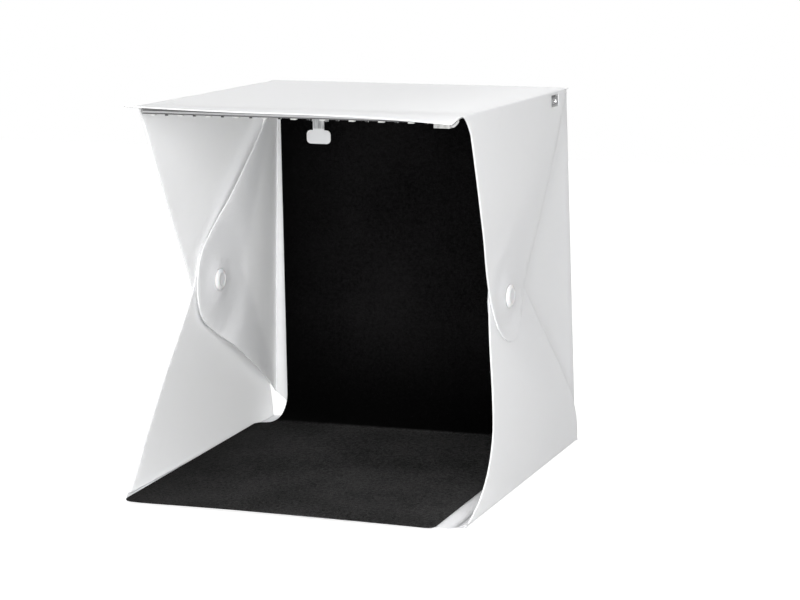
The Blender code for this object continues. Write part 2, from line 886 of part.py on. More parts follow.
def wall_place(x, up):
    """Where the backdrop's face lies: a foot that curves forward to the crease, and a straight wall above."""
    share = (x + mat_back_left) / (mat_back_left + mat_back_right)
    crease = back_y + fold_gap - blend(crease_from_back_left, crease_from_back_right, share)
    wall_y = inner_back_y - wall_back_gap
    low = floor_z + backdrop_thickness
    if up >= wall_foot_rise:
        return (x, wall_y, low + up)
    climb = up / wall_foot_rise
    left = (1 - climb) ** 2
    height = 2 * climb * (1 - climb) * wall_toe_rise + climb**2 * wall_foot_rise
    return (x, left * crease + (1 - left) * wall_y, low + height)


def backdrop_wall(parent, material):
    """The part of the backdrop that hangs on the hooks and sweeps forward to the crease."""
    points = rounded(
        [
            (-wall_foot_left, 0, 0),
            (wall_foot_right, 0, 0),
            (wall_head_right, wall_height, wall_head_radius),
            (-wall_head_left, wall_height, wall_head_radius),
        ],
        corner_steps,
    )
    bm = drawn_face(points, lambda x, up: (x, 0, up))
    slice_mesh(bm, 2, [wall_foot_rise * n / wall_foot_steps for n in range(1, wall_foot_steps + 1)])
    for vert in bm.verts:
        vert.co = wall_place(vert.co.x, vert.co.z)
    bmesh.ops.triangulate(bm, faces=bm.faces)
    bm.normal_update()
    if sum(face.normal.y for face in bm.faces) > 0:
        bmesh.ops.reverse_faces(bm, faces=bm.faces)
    item = finish("backdrop_wall", bm, parent, material, smooth=True)
    shell = item.modifiers.new("sheet", "SOLIDIFY")
    shell.thickness = backdrop_thickness
    shell.offset = -1
    wall_y = inner_back_y - wall_back_gap
    level = top_under_z - hook_level
    for side_name, side in (("left", -1), ("right", 1)):
        middle = side * hook_half_spacing
        low = (middle - slit_width / 2, wall_y - overrun, level - slit_height / 2)
        high = (middle + slit_width / 2, wall_y + overrun, level + slit_height / 2)
        cut(item, side_name + "_slit", block(low, high), parent)


def hook_path(along):
    """Depth and height of the bent hook at a distance along it, from the top of its pad."""
    bend = hook_bend_radius * math.pi / 2
    depth = inner_back_y - seat_gap
    height = top_under_z - hook_level + hook_bend_radius + hook_pad_height
    if along <= hook_pad_height:
        return depth, height - along
    height -= hook_pad_height
    along -= hook_pad_height
    if along <= bend:
        angle = along / hook_bend_radius
        return depth - hook_bend_radius * (1 - math.cos(angle)), height - hook_bend_radius * math.sin(angle)
    depth -= hook_bend_radius
    height -= hook_bend_radius
    along -= bend
    if along <= hook_bridge:
        return depth - along, height
    depth -= hook_bridge
    along -= hook_bridge
    if along <= bend:
        angle = along / hook_bend_radius
        return depth - hook_bend_radius * math.sin(angle), height - hook_bend_radius * (1 - math.cos(angle))
    return depth - hook_bend_radius, height - hook_bend_radius - (along - bend)


def backdrop_hook(side_name, side, parent, material):
    """A T-shaped tongue of sheet: a pad on the back panel, a bridge through the slit and the hanging head."""
    bend = hook_bend_radius * math.pi / 2
    length = hook_pad_height + 2 * bend + hook_bridge + hook_hang
    neck = length - hook_head_height
    stem = hook_stem_width / 2
    head = hook_head_width / 2
    points = rounded(
        [
            (-stem, 0, 0),
            (-stem, neck, 0),
            (-head, neck, hook_head_radius),
            (-head, length, hook_head_radius),
            (head, length, hook_head_radius),
            (head, neck, hook_head_radius),
            (stem, neck, 0),
            (stem, 0, 0),
        ],
        corner_steps,
    )
    bm = drawn_face(points, lambda x, along: (x, along, 0))
    cuts = [hook_pad_height + bend * n / 3 for n in range(4)]
    cuts += [hook_pad_height + bend + hook_bridge + bend * n / 3 for n in range(4)]
    slice_mesh(bm, 1, [*cuts, neck])
    for vert in bm.verts:
        depth, height = hook_path(vert.co.y)
        vert.co = Vector((side * hook_half_spacing + vert.co.x, depth, height))
    bm.normal_update()
    if sum(face.normal.y for face in bm.faces) < 0:
        bmesh.ops.reverse_faces(bm, faces=bm.faces)
    item = finish(side_name + "_hook", bm, parent, material)
    shell = item.modifiers.new("sheet", "SOLIDIFY")
    shell.thickness = sheet_thickness
    shell.offset = -1


def main():
    clear_scene()
    white_sheet = make_material("white_sheet", (0.86, 0.87, 0.88), 0.45)
    snap_plastic = make_material("snap_plastic", (0.84, 0.85, 0.86), 0.30)
    backdrop_black = make_material("backdrop_black", (0.016, 0.016, 0.017), 0.75)
    foam_tape = make_material("foam_tape", (0.55, 0.55, 0.55), 0.85)
    board_grey = make_material("board_grey", (0.62, 0.63, 0.63), 0.40)
    led_white = make_material("led_white", (0.82, 0.80, 0.66), 0.35)
    plug_white = make_material("plug_white", (0.80, 0.80, 0.78), 0.40)
    socket_grey = make_material("socket_grey", (0.36, 0.36, 0.37), 0.50)
    socket_steel = make_material("socket_steel", (0.62, 0.62, 0.63), 0.30, 1.0)
    tongue_black = make_material("tongue_black", (0.02, 0.02, 0.02), 0.50)
    lead_white = make_material("lead_white", (0.78, 0.78, 0.78), 0.50)

    box = make_empty("light_tent", (0, 0, 0))
    back_fold = make_empty("back_panel_fold", (0, back_y + half_gap, sheet_thickness + half_gap), box)
    top_fold = make_empty("top_panel_fold", (0, back_y + half_gap, top_under_z - half_gap), back_fold)
    lip_fold = make_empty("front_lip_fold", (0, crease_y, top_under_z), top_fold)

    base_panel(box, white_sheet)
    back_panel(back_fold, white_sheet)
    top_panel(top_fold, white_sheet)
    front_lip(lip_fold, white_sheet)
    for side_name, side in (("left", -1), ("right", 1)):
        flap, flap_fold, center = top_flap(side_name, side, top_fold, white_sheet)
        if side == 1:
            socket_window(flap, flap_fold)
        outer_snap(side_name, side, flap_fold, center, snap_plastic)
        bottom_flap(side_name, side, box, white_sheet)
        back_flap_fold = back_flap(side_name, side, back_fold, white_sheet)
        inner_snap(side_name, side, back_flap_fold, snap_plastic)
        backdrop_hook(side_name, side, back_fold, white_sheet)
    plug_end = light_strip(top_fold, foam_tape, board_grey, led_white, plug_white)
    socket_end = power_socket(top_fold, socket_grey, socket_steel, tongue_black)
    power_lead(plug_end, socket_end, top_fold, lead_white)
    backdrop_floor(box, backdrop_black)
    backdrop_wall(back_fold, backdrop_black)
    top_fold.rotation_euler.x = -math.radians(top_rise_degrees)


main()
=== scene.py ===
import json
import math

import bmesh
import bpy
from mathutils import Matrix, Vector


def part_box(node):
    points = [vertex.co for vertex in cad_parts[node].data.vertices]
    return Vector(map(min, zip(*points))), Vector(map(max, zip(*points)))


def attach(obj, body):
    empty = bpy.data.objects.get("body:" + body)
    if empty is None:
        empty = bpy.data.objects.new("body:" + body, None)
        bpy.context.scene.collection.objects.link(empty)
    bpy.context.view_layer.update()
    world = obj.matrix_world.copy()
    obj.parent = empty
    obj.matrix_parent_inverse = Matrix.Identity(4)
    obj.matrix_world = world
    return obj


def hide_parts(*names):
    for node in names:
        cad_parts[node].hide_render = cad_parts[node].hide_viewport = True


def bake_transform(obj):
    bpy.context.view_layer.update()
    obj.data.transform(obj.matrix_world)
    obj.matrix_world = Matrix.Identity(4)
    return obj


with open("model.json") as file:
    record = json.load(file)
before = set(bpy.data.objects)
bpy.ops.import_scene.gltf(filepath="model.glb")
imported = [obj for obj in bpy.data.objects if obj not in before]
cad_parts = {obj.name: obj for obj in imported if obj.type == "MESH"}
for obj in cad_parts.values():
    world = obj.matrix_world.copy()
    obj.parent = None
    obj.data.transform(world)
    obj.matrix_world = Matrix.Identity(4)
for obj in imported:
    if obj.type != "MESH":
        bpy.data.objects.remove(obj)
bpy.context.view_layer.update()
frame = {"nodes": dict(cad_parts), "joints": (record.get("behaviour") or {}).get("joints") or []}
joints = {joint["name"]: joint for joint in frame["joints"]}
sides = {"left": -1, "right": 1}
print("frame loaded:", len(frame["nodes"]), "nodes")

# camera, solved from the photograph
camera = {
    "place": (0.58321, -1.44557, 0.40669),
    "yaw": 0.365552,
    "pitch": -0.187183,
    "roll": -0.012224,
    "focal": 110.72,
    "sensorWidth": 36,
    "farEnd": 100,
}


def aimedCamera():
    yaw, pitch, roll = camera["yaw"], camera["pitch"], camera["roll"]
    ahead = Vector(
        (-math.sin(yaw) * math.cos(pitch), math.cos(yaw) * math.cos(pitch), math.sin(pitch))
    )
    level = Vector((math.cos(yaw), math.sin(yaw), 0))
    above = level.cross(ahead)
    right = level * math.cos(roll) + above * math.sin(roll)
    up = above * math.cos(roll) - level * math.sin(roll)
    data = bpy.data.cameras.new("camera")
    data.lens = camera["focal"]
    data.sensor_width = camera["sensorWidth"]
    data.clip_end = camera["farEnd"]
    item = bpy.data.objects.new("camera", data)
    bpy.context.scene.collection.objects.link(item)
    turn = Matrix((right, up, -ahead)).transposed().to_4x4()
    item.matrix_world = Matrix.Translation(Vector(camera["place"])) @ turn
    bpy.context.scene.camera = item


aimedCamera()
print("camera placed")


# sums on sockets are written as Python sums
class Wire:
    def __init__(self, tree, socket):
        self.tree = tree
        self.socket = socket

    def maths(self, operation, first, second):
        node = self.tree.nodes.new("ShaderNodeMath")
        node.operation = operation
        for socket, value in zip(node.inputs, (first, second)):
            plug(self.tree, socket, value)
        return Wire(self.tree, node.outputs[0])

    def __add__(self, other):
        return self.maths("ADD", self, other)

    def __radd__(self, other):
        return self.maths("ADD", other, self)

    def __mul__(self, other):
        return self.maths("MULTIPLY", self, other)

    def __rmul__(self, other):
        return self.maths("MULTIPLY", other, self)

    def larger(self, other):
        return self.maths("MAXIMUM", self, other)


def plug(tree, socket, value):
    if isinstance(value, Wire):
        tree.links.new(value.socket, socket)
    else:
        socket.default_value = value


class Finish:
    # a material, or the world; all nodes but the sums come from one method
    def __init__(self, name, owner=None):
        self.material = owner or bpy.data.materials.new(name)
        self.material.use_nodes = True
        self.tree = self.material.node_tree
        self.shader = self.tree.nodes.get("Principled BSDF")

    def node(self, kind, settings=None, inputs=None, output=0):
        made = self.tree.nodes.new("ShaderNode" + kind)
        for name, value in (settings or {}).items():
            setattr(made, name, value)
        for name, value in (inputs or {}).items():
            plug(self.tree, made.inputs[name], value)
        return Wire(self.tree, made.outputs[output]) if made.outputs else None

    def place(self):
        # Object coordinates
        return self.node("TexCoord", output=3)

    def parts(self, vector):
        made = self.node("SeparateXYZ", inputs={0: vector})
        return [Wire(self.tree, socket) for socket in made.socket.node.outputs]

    def speckle(self, scale, detail, rough=0.5, vector=None):
        inputs = {"Scale": scale, "Detail": detail, "Roughness": rough}
        inputs["Vector"] = vector or self.place()
        return self.node("TexNoise", inputs=inputs)

    def spread(self, value, low, high, newLow=0.0, newHigh=1.0):
        inputs = {0: value, 1: low, 2: high, 3: newLow, 4: newHigh}
        return self.node("MapRange", inputs=inputs)

    def tint(self, share, *shades):
        # each of the two shades is a colour or a wire
        first, second = [s if isinstance(s, Wire) else (*s, 1) for s in shades]
        inputs = {0: share, 6: first, 7: second}
        return self.node("Mix", {"data_type": "RGBA"}, inputs, output=2)

    def bump(self, height, distance, strength):
        inputs = {"Height": height, "Distance": distance, "Strength": strength}
        self.set(Normal=self.node("Bump", inputs=inputs))

    def set(self, **values):
        names = {
            "Colour": "Base Color",
            "Subsurface": "Subsurface Weight",
            "SubsurfaceScale": "Subsurface Scale",
            "SubsurfaceRadius": "Subsurface Radius",
            "SheenWeight": "Sheen Weight",
            "SheenRoughness": "Sheen Roughness",
            "Specular": "Specular IOR Level",
        }
        for name, value in values.items():
            plug(self.tree, self.shader.inputs[names.get(name, name)], value)


# satin polypropylene sheet with a fine embossed grain; a noise is (scale, detail, roughness)
whiteLook = {
    "grain": (1500, 3),
    "cloud": (7, 3),
    "scuff": (60, 6, 0.7),
    "wave": (45, 2),
    "scuffRange": (0.62, 0.75),
    "scuffShare": 0.35,
    "shades": ((0.845, 0.852, 0.860), (0.875, 0.880, 0.886)),
    "scuffed": (0.80, 0.805, 0.81),
    # grey of the painted shade on the hooks' stems
    "worn": (0.30, 0.305, 0.31),
    "roughness": (0.36, 0.14, 0.12),
    "relief": (0.8, 0.5),
    "bump": (0.00006, 0.35),
    "fixed": {
        "SubsurfaceScale": 0.003,
        "SubsurfaceRadius": (1.0, 1.0, 0.95),
        "Specular": 0.30,
    },
}


def whiteSheet(name, depth, tone, shadeMask=None):
    # depth is the share of light that comes through; the tone makes a lighter or darker copy of
    #     # the sheet as painted light or shade, and the mask gives the share of painted grey shade
    look = Finish(name)
    grain = look.speckle(*whiteLook["grain"])
    cloud = look.speckle(*whiteLook["cloud"])
    scuff = look.spread(look.speckle(*whiteLook["scuff"]), *whiteLook["scuffRange"])
    # the tone makes a lighter or darker copy: painted light or painted shade
    pale = [[tone * part for part in shade] for shade in whiteLook["shades"]]
    colour = look.tint(cloud, *pale)
    # painted grey shade where the mask is
    if shadeMask:
        colour = look.tint(shadeMask(look), colour, whiteLook["worn"])
    look.set(Colour=look.tint(scuff * whiteLook["scuffShare"], colour, whiteLook["scuffed"]))
    lowest, byGrain, byScuff = whiteLook["roughness"]
    look.set(Roughness=lowest + grain * byGrain + scuff * byScuff)
    look.set(Subsurface=depth, **whiteLook["fixed"])
    fine, wide = whiteLook["relief"]
    look.bump(grain * fine + look.speckle(*whiteLook["wave"]) * wide, *whiteLook["bump"])
    return look.material


# matt black sheet with a napped grain; the wall part is painted darker than the flat part as
# # painted shade, darker still towards its left and its foot, and the flat part is painted darker
# # towards its left; a range is (from, to) and may go on with the two values that it leads to
blackLook = {
    "nap": (1500, 4, 0.65),
    "fleck": (430, 4, 0.7),
    "cloud": (14, 3),
    "wallShades": ((0.0007, 0.0007, 0.0007), (0.0090, 0.0088, 0.0090)),
    "wallRange": (0.40, 0.60),
    # painted shade: the wall darker towards its left and towards its foot
    "wallAcross": (-0.104, -0.050, 0.2, 1.0),
    "wallHeight": (0.015, 0.080, 0.15, 1.0),
    "matShades": ((0.0048, 0.0048, 0.0048), (0.0550, 0.0542, 0.0542)),
    "matRange": (0.41, 0.59),
    # painted shade: the flat part darker towards its left
    "matAcross": (-0.105, -0.042, 0.48, 1.0),
    "matHeight": (0.0026, 0.0034, 1.0, 0.0),
    "mix": (0.5, 0.3, 0.2),
    "roughness": (0.70, 0.2),
    "relief": (0.5, 1.2),
    "bump": (0.00050, 1.0),
    "fixed": {"Specular": 0.008, "SheenWeight": 0.004, "SheenRoughness": 0.5},
}


def backdropBlack():
    look = Finish("backdropBlack")
    nap = look.speckle(*blackLook["nap"])
    fleck = look.speckle(*blackLook["fleck"])
    cloud = look.speckle(*blackLook["cloud"])
    shares = blackLook["mix"]
    mix = nap * shares[0] + fleck * shares[1] + cloud * shares[2]
    across, _, height = look.parts(look.place())
    # painted shade on the wall, towards its left and its foot
    lit = look.spread(across, *blackLook["wallAcross"])
    lit = lit * look.spread(height, *blackLook["wallHeight"])
    wall = look.tint(look.spread(mix, *blackLook["wallRange"]) * lit, *blackLook["wallShades"])
    # the flat part's grain, with painted shade towards its left
    matGrainAndShade = look.spread(mix, *blackLook["matRange"]) * look.spread(across, *blackLook["matAcross"])
    mat = look.tint(matGrainAndShade, *blackLook["matShades"])
    # the wall takes the darker colours, the flat part the lighter ones: painted shade and light
    look.set(Colour=look.tint(look.spread(height, *blackLook["matHeight"]), wall, mat))
    lowest, byNap = blackLook["roughness"]
    look.set(Roughness=lowest + nap * byNap, **blackLook["fixed"])
    fine, wide = blackLook["relief"]
    look.bump(nap * fine + fleck * wide, *blackLook["bump"])
    return look.material


def grained(name, grain, shades, roughness, bump=None, stain=None, **fixed):
    # one grain in the roughness and the bump, and in the colour where that has no stain;
    # roughness is (lowest, added by the grain), bump is (distance, strength)
    look = Finish(name)
    fine = look.speckle(*grain)
    share = look.speckle(*stain) if stain else fine
    look.set(Colour=look.tint(share, *shades), Roughness=roughness[0] + fine * roughness[1])
    look.set(**fixed)
    if bump:
        look.bump(fine, *bump)
    return look.material


finishes = {
    "sheet": whiteSheet("whiteSheet", 0.7, 1.0),
    # the left back flap's copy lets less light through and is painted lighter: painted light
    "inner": whiteSheet("innerSheet", 0.45, 1.06),
    # a darker copy for the back panel and the right back flap: painted shade
    "shaded": whiteSheet("shadedSheet", 0.7, 0.93),
    "backdrop": backdropBlack(),
    "snap": grained(
        "snapWhite",
        (2600, 2),
        ((0.70, 0.705, 0.71), (0.74, 0.74, 0.74)),
        (0.46, 0.10),
        (0.00002, 0.3),
        stain=(90, 3),
        Subsurface=0.08,
        SubsurfaceScale=0.001,
        Specular=0.25,
    ),
    "tape": grained(
        "foamTape", (2200, 3), ((0.13, 0.13, 0.13), (0.22, 0.22, 0.22)), (0.75, 0.2), (0.0001, 0.8)
    ),
    "board": grained(
        "boardMask",
        (1100, 2),
        ((0.40, 0.405, 0.41), (0.52, 0.52, 0.525)),
        (0.34, 0.2),
        (0.00004, 0.5),
        stain=(110, 4),
    ),
    "core": grained("boardCore", (1300, 2), ((0.06, 0.06, 0.062), (0.13, 0.13, 0.132)), (0.6, 0.2)),
    "resistor": grained(
        "resistorBlack", (3000, 2), ((0.012, 0.012, 0.013), (0.03, 0.03, 0.032)), (0.35, 0.25)
    ),
    "tin": grained(
        "solderTin",
        (2400, 3),
        ((0.55, 0.55, 0.54), (0.78, 0.78, 0.77)),
        (0.28, 0.25),
        (0.00005, 0.6),
        Metallic=1.0,
    ),
    "case": grained("ledCase", (2600, 2), ((0.58, 0.58, 0.57), (0.68, 0.68, 0.67)), (0.40, 0.15)),
    "phosphor": grained(
        "phosphor",
        (3400, 3),
        ((0.78, 0.62, 0.16), (0.86, 0.76, 0.32)),
        (0.18, 0.12),
        Subsurface=0.3,
        SubsurfaceScale=0.0005,
    ),
    "plug": grained(
        "plugWhite", (2200, 2), ((0.40, 0.40, 0.39), (0.54, 0.54, 0.53)), (0.40, 0.18), (0.00003, 0.4)
    ),
    "lead": grained(
        "leadWhite", (1800, 3), ((0.38, 0.38, 0.38), (0.56, 0.56, 0.56)), (0.46, 0.2), (0.00004, 0.4)
    ),
    "socket": grained(
        "socketGrey", (2000, 3), ((0.20, 0.20, 0.205), (0.30, 0.30, 0.305)), (0.42, 0.2), (0.00004, 0.5)
    ),
    "steel": grained(
        "socketSteel",
        (900, 3),
        ((0.56, 0.56, 0.56), (0.70, 0.70, 0.70)),
        (0.22, 0.2),
        (0.00003, 0.4),
        Metallic=1.0,
    ),
    "tongue": grained(
        "tongueBlack", (2400, 2), ((0.012, 0.012, 0.012), (0.03, 0.03, 0.03)), (0.4, 0.2)
    ),
}
print("finishes made:", len(finishes))


# drawing helpers
def between(start, end, share):
    return start + (end - start) * share


def limited(share):
    return min(max(share, 0), 1)


def smoothShare(value, start, end):
    # from 0 at the start to 1 at the end, level at both
    share = limited((value - start) / (end - start))
    return 3 * share**2 - 2 * share**3


def arc(center, radius, start, end, steps):
    points = []
    for step in range(steps + 1):
        angle = between(start, end, step / steps)
        points.append((center[0] + radius * math.cos(angle), center[1] + radius * math.sin(angle)))
    return points


def rounded(corners, steps=8):
    # closed outline from corners given as (across, along, radius)
    points = []
    for index, (across, along, radius) in enumerate(corners):
        here = Vector((across, along))
        if radius == 0:
            points.append((across, along))
            continue
        before = (Vector(corners[index - 1][:2]) - here).normalized()
        after = (Vector(corners[(index + 1) % len(corners)][:2]) - here).normalized()
        half = before.angle(after) / 2
        center = here + (before + after).normalized() * radius / math.sin(half)
        first = here + before * radius / math.tan(half) - center
        last = here + after * radius / math.tan(half) - center
        start = math.atan2(first.y, first.x)
        turn = math.atan2(first.x * last.y - first.y * last.x, first.dot(last))
        points += arc(center, radius, start, start + turn, steps)
    return points


def mirrored(half):
    # the right half of an outline's corners, and the same on the left
    return half + [(-across, along, radius) for across, along, radius in reversed(half)]


def swept(start, control, end, steps):
    # points of a curve that leaves towards the control point
    points = []
    for step in range(steps + 1):
        share = step / steps
        first = [between(a, b, share) for a, b in zip(start, control)]
        second = [between(a, b, share) for a, b in zip(control, end)]
        points.append(tuple(between(a, b, share) for a, b in zip(first, second)))
    return points


def drawnFace(points):
    bm = bmesh.new()
    bm.faces.new([bm.verts.new((across, along, 0)) for across, along in points])
    return bm


def slicedAt(bm, place, normal):
    geometry = bm.verts[:] + bm.edges[:] + bm.faces[:]
    bmesh.ops.bisect_plane(bm, geom=geometry, plane_co=place, plane_no=normal)


def sliced(bm, axis, places):
    normal = Vector((0, 0, 0))
    normal[axis] = 1
    for place in places:
        slicedAt(bm, normal * place, normal)


def cells(low, high, size):
    # the places between low and high that split it evenly
    count = max(1, round((high - low) / size))
    return [between(low, high, n / count) for n in range(1, count)]


def faceOutward(bm, outward):
    # turns the faces over where most of their area looks the other way
    outward = Vector(outward)
    bm.normal_update()
    if sum(face.normal.dot(outward) * face.calc_area() for face in bm.faces) < 0:
        bmesh.ops.reverse_faces(bm, faces=bm.faces)


def block(low, high):
    bm = bmesh.new()
    bmesh.ops.create_cube(bm, size=1.0)
    low = Vector(low)
    high = Vector(high)
    bmesh.ops.scale(bm, verts=bm.verts, vec=high - low)
    bmesh.ops.translate(bm, verts=bm.verts, vec=(low + high) / 2)
    return bm


def turned(profile, steps=64, merge=0.000004):
    # a round piece about the X axis from its (along, radius) profile
    bm = bmesh.new()
    verts = [bm.verts.new((along, 0, radius)) for along, radius in profile]
    edges = [bm.edges.new(pair) for pair in zip(verts, verts[1:])]
    about = {"cent": (0, 0, 0), "axis": (1, 0, 0), "angle": 2 * math.pi}
    bmesh.ops.spin(bm, geom=verts + edges, steps=steps, use_merge=True, **about)
    bmesh.ops.remove_doubles(bm, verts=bm.verts, dist=merge)
    bmesh.ops.recalc_face_normals(bm, faces=bm.faces)
    return bm


def asObject(name, bm, *finish):
    mesh = bpy.data.meshes.new(name)
    bm.to_mesh(mesh)
    bm.free()
    item = bpy.data.objects.new(name, mesh)
    bpy.context.scene.collection.objects.link(item)
    for entry in finish:
        mesh.materials.append(finishes[entry])
    return item


def thickened(item, thickness):
    # the drawn face stays the outer one
    shell = item.modifiers.new("sheet", "SOLIDIFY")
    shell.thickness = thickness
    shell.offset = -1


def bevelled(item, width, segments=2, angle=40):
    bevel = item.modifiers.new("edge", "BEVEL")
    bevel.width = width
    bevel.segments = segments
    bevel.limit_method = "ANGLE"
    bevel.angle_limit = math.radians(angle)
    bevel.use_clamp_overlap = True


def baked(item, sharp=35):
    # takes the modifiers into the mesh
    bpy.context.view_layer.update()
    graph = bpy.context.evaluated_depsgraph_get()
    mesh = bpy.data.meshes.new_from_object(item.evaluated_get(graph))
    item.modifiers.clear()
    item.data = mesh
    mesh.name = item.name
    mesh.shade_smooth()
    mesh.set_sharp_from_angle(angle=math.radians(sharp))
    return item


def cutAndBaked(item, cutters, edge, angle, sharp=35):
    for cutter in cutters:
        cut = item.modifiers.new("cut", "BOOLEAN")
        cut.operation = "DIFFERENCE"
        cut.solver = "EXACT"
        cut.object = cutter
    bevelled(item, edge, angle=angle)
    baked(item, sharp)
    for cutter in cutters:
        bpy.data.objects.remove(cutter)


# the creased sheet: panels whose edges run round each crease into the next
sheet = {
    "thickness": 0.0008,
    "bend": 0.0012,
    "bendSteps": 6,
    "cell": 0.005,
    "edge": 0.00014,
    "gap": 0.0003,
    "panelCell": 0.02,
    "frontRadius": 0.010,
    "topDepth": 0.230,
    "lipRadius": 0.0025,
    "lipCell": 0.003,
    "lipLift": -0.0018,
    "lipDroop": 0.0034,
    "lipPower": 2.2,
    "creaseWidth": 0.0009,
    "creaseDepth": 0.00022,
    "creaseSteps": 4,
    "backInset": 0.0015,
    "notchHalf": 0.0985,
    "notchHeight": 0.009,
}
baseLow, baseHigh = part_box("base_panel")
backY = baseHigh.y
frontY = baseLow.y
baseHalf = baseHigh.x
topPivot = Vector(joints["top_panel_fold"]["pos_m"])
topAxis = Vector(joints["left_top_flap_fold"]["axis"])
rise = math.atan2(-topAxis.z, topAxis.y)
# the top is drawn level and then tilted up to its front
tilt = (
    Matrix.Translation(topPivot) @ Matrix.Rotation(-rise, 4, "X") @ Matrix.Translation(-topPivot)
)
lipFold = tilt.inverted() @ Vector(joints["front_lip_fold"]["pos_m"])
creaseY = lipFold.y
topUnder = lipFold.z
topZ = topUnder + sheet["thickness"]
topHalf = abs(joints["left_top_flap_fold"]["pos_m"][0]) - sheet["gap"] / 2
topFrontY = backY - sheet["topDepth"]
floorZ = sheet["thickness"] + sheet["gap"]
backInset = sheet["backInset"]
bend = sheet["bend"]
arcLength = bend * math.pi / 2
bendRows = [arcLength * n / sheet["bendSteps"] for n in range(sheet["bendSteps"])]


def wallHalf(height):
    return between(baseHalf, topHalf, height / topZ)


def acrossCrease(start, end, along):
    # start and end of a bend, square to its crease
    start = Vector(start)
    along = Vector(along).normalized()
    step = Vector(end) - start
    return start, start + step - along * step.dot(along)


def sheetPiece(name, bm, toSpace, outward, finish="sheet"):
    # a drawn face moved into place and thickened inwards
    bmesh.ops.triangulate(bm, faces=bm.faces)
    for vert in bm.verts:
        vert.co = toSpace(vert.co.x, vert.co.y)
    faceOutward(bm, outward)
    item = asObject(name, bm, finish)
    thickened(item, sheet["thickness"])
    return item


def softEdged(item):
    bevelled(item, sheet["edge"])
    return baked(item)


def settled(item, node, body, blended=None):
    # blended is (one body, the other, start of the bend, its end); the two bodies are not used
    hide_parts(node)
    if blended:
        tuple(blended[2])
        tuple(blended[3])
        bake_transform(item)
    else:
        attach(item, body)


def basePanel():
    rootFront, rootBack = bottomRoot
    inner = baseHalf - bend
    half = [
        (baseHalf, frontY, sheet["frontRadius"]),
        (baseHalf, rootFront, 0),
        (inner, rootFront, 0),
        (inner, rootBack, 0),
        (baseHalf, rootBack, 0),
        (baseHalf, backY, 0),
        (sheet["notchHalf"], backY, 0),
        (sheet["notchHalf"], backY - bend, 0),
    ]
    bm = drawnFace(rounded(mirrored(half)))
    item = sheetPiece("baseSheet", bm, lambda x, y: (x, y, sheet["thickness"]), (0, 0, 1))
    settled(softEdged(item), "base_panel", "base")


def backPanel():
    # flat, with the bend into the base at its foot
    foot = flaps["backFoot"]
    flapHead = topZ - flaps["backHead"]
    head = topZ - bend
    half = [
        (sheet["notchHalf"], -arcLength, 0),
        (sheet["notchHalf"], sheet["notchHeight"] - bend, 0),
        (wallHalf(foot) - backInset, foot - bend, 0),
        (wallHalf(foot) - backInset - bend, foot - bend, 0),
        (wallHalf(flapHead) - backInset - bend, flapHead - bend, 0),
        (wallHalf(flapHead) - backInset, flapHead - bend, 0),
        (wallHalf(head) - backInset, head - bend, 0),
    ]
    bm = drawnFace(rounded(mirrored(half)))
    sliced(bm, 1, [-row for row in bendRows])
    sliced(bm, 1, cells(0, head, sheet["panelCell"]))

    def toSpace(x, up):
        if up >= 0:
            return (x, backY, bend + up)
        angle = -up / bend
        return (x, backY - bend + bend * math.cos(angle), bend - bend * math.sin(angle))

    # the back panel takes the darker copy of the sheet: painted shade
    item = sheetPiece("backSheet", bm, toSpace, (0, 1, 0), "shaded")
    start = (0, backY - bend, 0)
    end = (0, backY, bend)
    settled(softEdged(item), "back_panel", "back_panel", ("base", "back_panel", start, end))


def pressed(y):
    # depth of the crease that is rolled into the sheet between top and lip
    away = abs(y - creaseY) / sheet["creaseWidth"]
    return sheet["creaseDepth"] * max(0, 1 - away) ** 2


def creaseRows():
    steps = sheet["creaseSteps"]
    return [creaseY + sheet["creaseWidth"] * n / steps for n in range(-steps, steps + 1)]


def topPanel():
    # flat, with the bend into the back panel at its rear
    rear = backY - bend
    front = creaseY + sheet["gap"]
    rootFront, rootBack = topRoot
    inner = topHalf - bend
    half = [
        (topHalf, front, 0),
        (topHalf, rootFront, 0),
        (inner, rootFront, 0),
        (inner, rootBack, 0),
        (topHalf, rootBack, 0),
        (topHalf, rear, 0),
        (topHalf - backInset, rear + arcLength, 0),
    ]
    bm = drawnFace(rounded(mirrored(half)))
    sliced(bm, 1, [rear + row for row in bendRows])
    sliced(bm, 1, cells(rootFront, rear, sheet["panelCell"]) + creaseRows())

    def toSpace(x, y):
        if y <= rear:
            return (x, y, topZ - pressed(y))
        angle = (y - rear) / bend
        return (x, rear + bend * math.sin(angle), topZ - bend + bend * math.cos(angle))

    item = softEdged(sheetPiece("topSheet", bm, toSpace, (0, 0, 1)))
    item.data.transform(tilt)
    start = tilt @ Vector((0, backY, topZ - bend))
    end = tilt @ Vector((0, rear, topZ))
    settled(item, "top_panel", "top_panel", ("back_panel", "top_panel", start, end))


def frontLip():
    # curled up at its left end and down at its right end
    rear = creaseY + sheet["gap"]
    corners = [
        (-topHalf, topFrontY, sheet["lipRadius"]),
        (topHalf, topFrontY, sheet["lipRadius"]),
        (topHalf, rear, 0),
        (-topHalf, rear, 0),
    ]
    bm = drawnFace(rounded(corners))
    sliced(bm, 0, cells(-topHalf, topHalf, sheet["lipCell"]))
    sliced(bm, 1, cells(topFrontY, creaseY, sheet["lipCell"]) + creaseRows())

    def toSpace(x, y):
        forward = limited((creaseY - y) / (creaseY - topFrontY))
        curl = sheet["lipDroop"] if x > 0 else sheet["lipLift"]
        drop = curl * abs(x / topHalf) ** sheet["lipPower"] * forward**2
        return (x, y, topZ - pressed(y) - drop)

    item = softEdged(sheetPiece("lipSheet", bm, toSpace, (0, 0, 1)))
    item.data.transform(tilt)
    start = tilt @ Vector((0, rear, topZ))
    end = tilt @ Vector((0, creaseY - sheet["gap"], topZ))
    settled(item, "front_lip", "front_lip", ("top_panel", "front_lip", start, end))


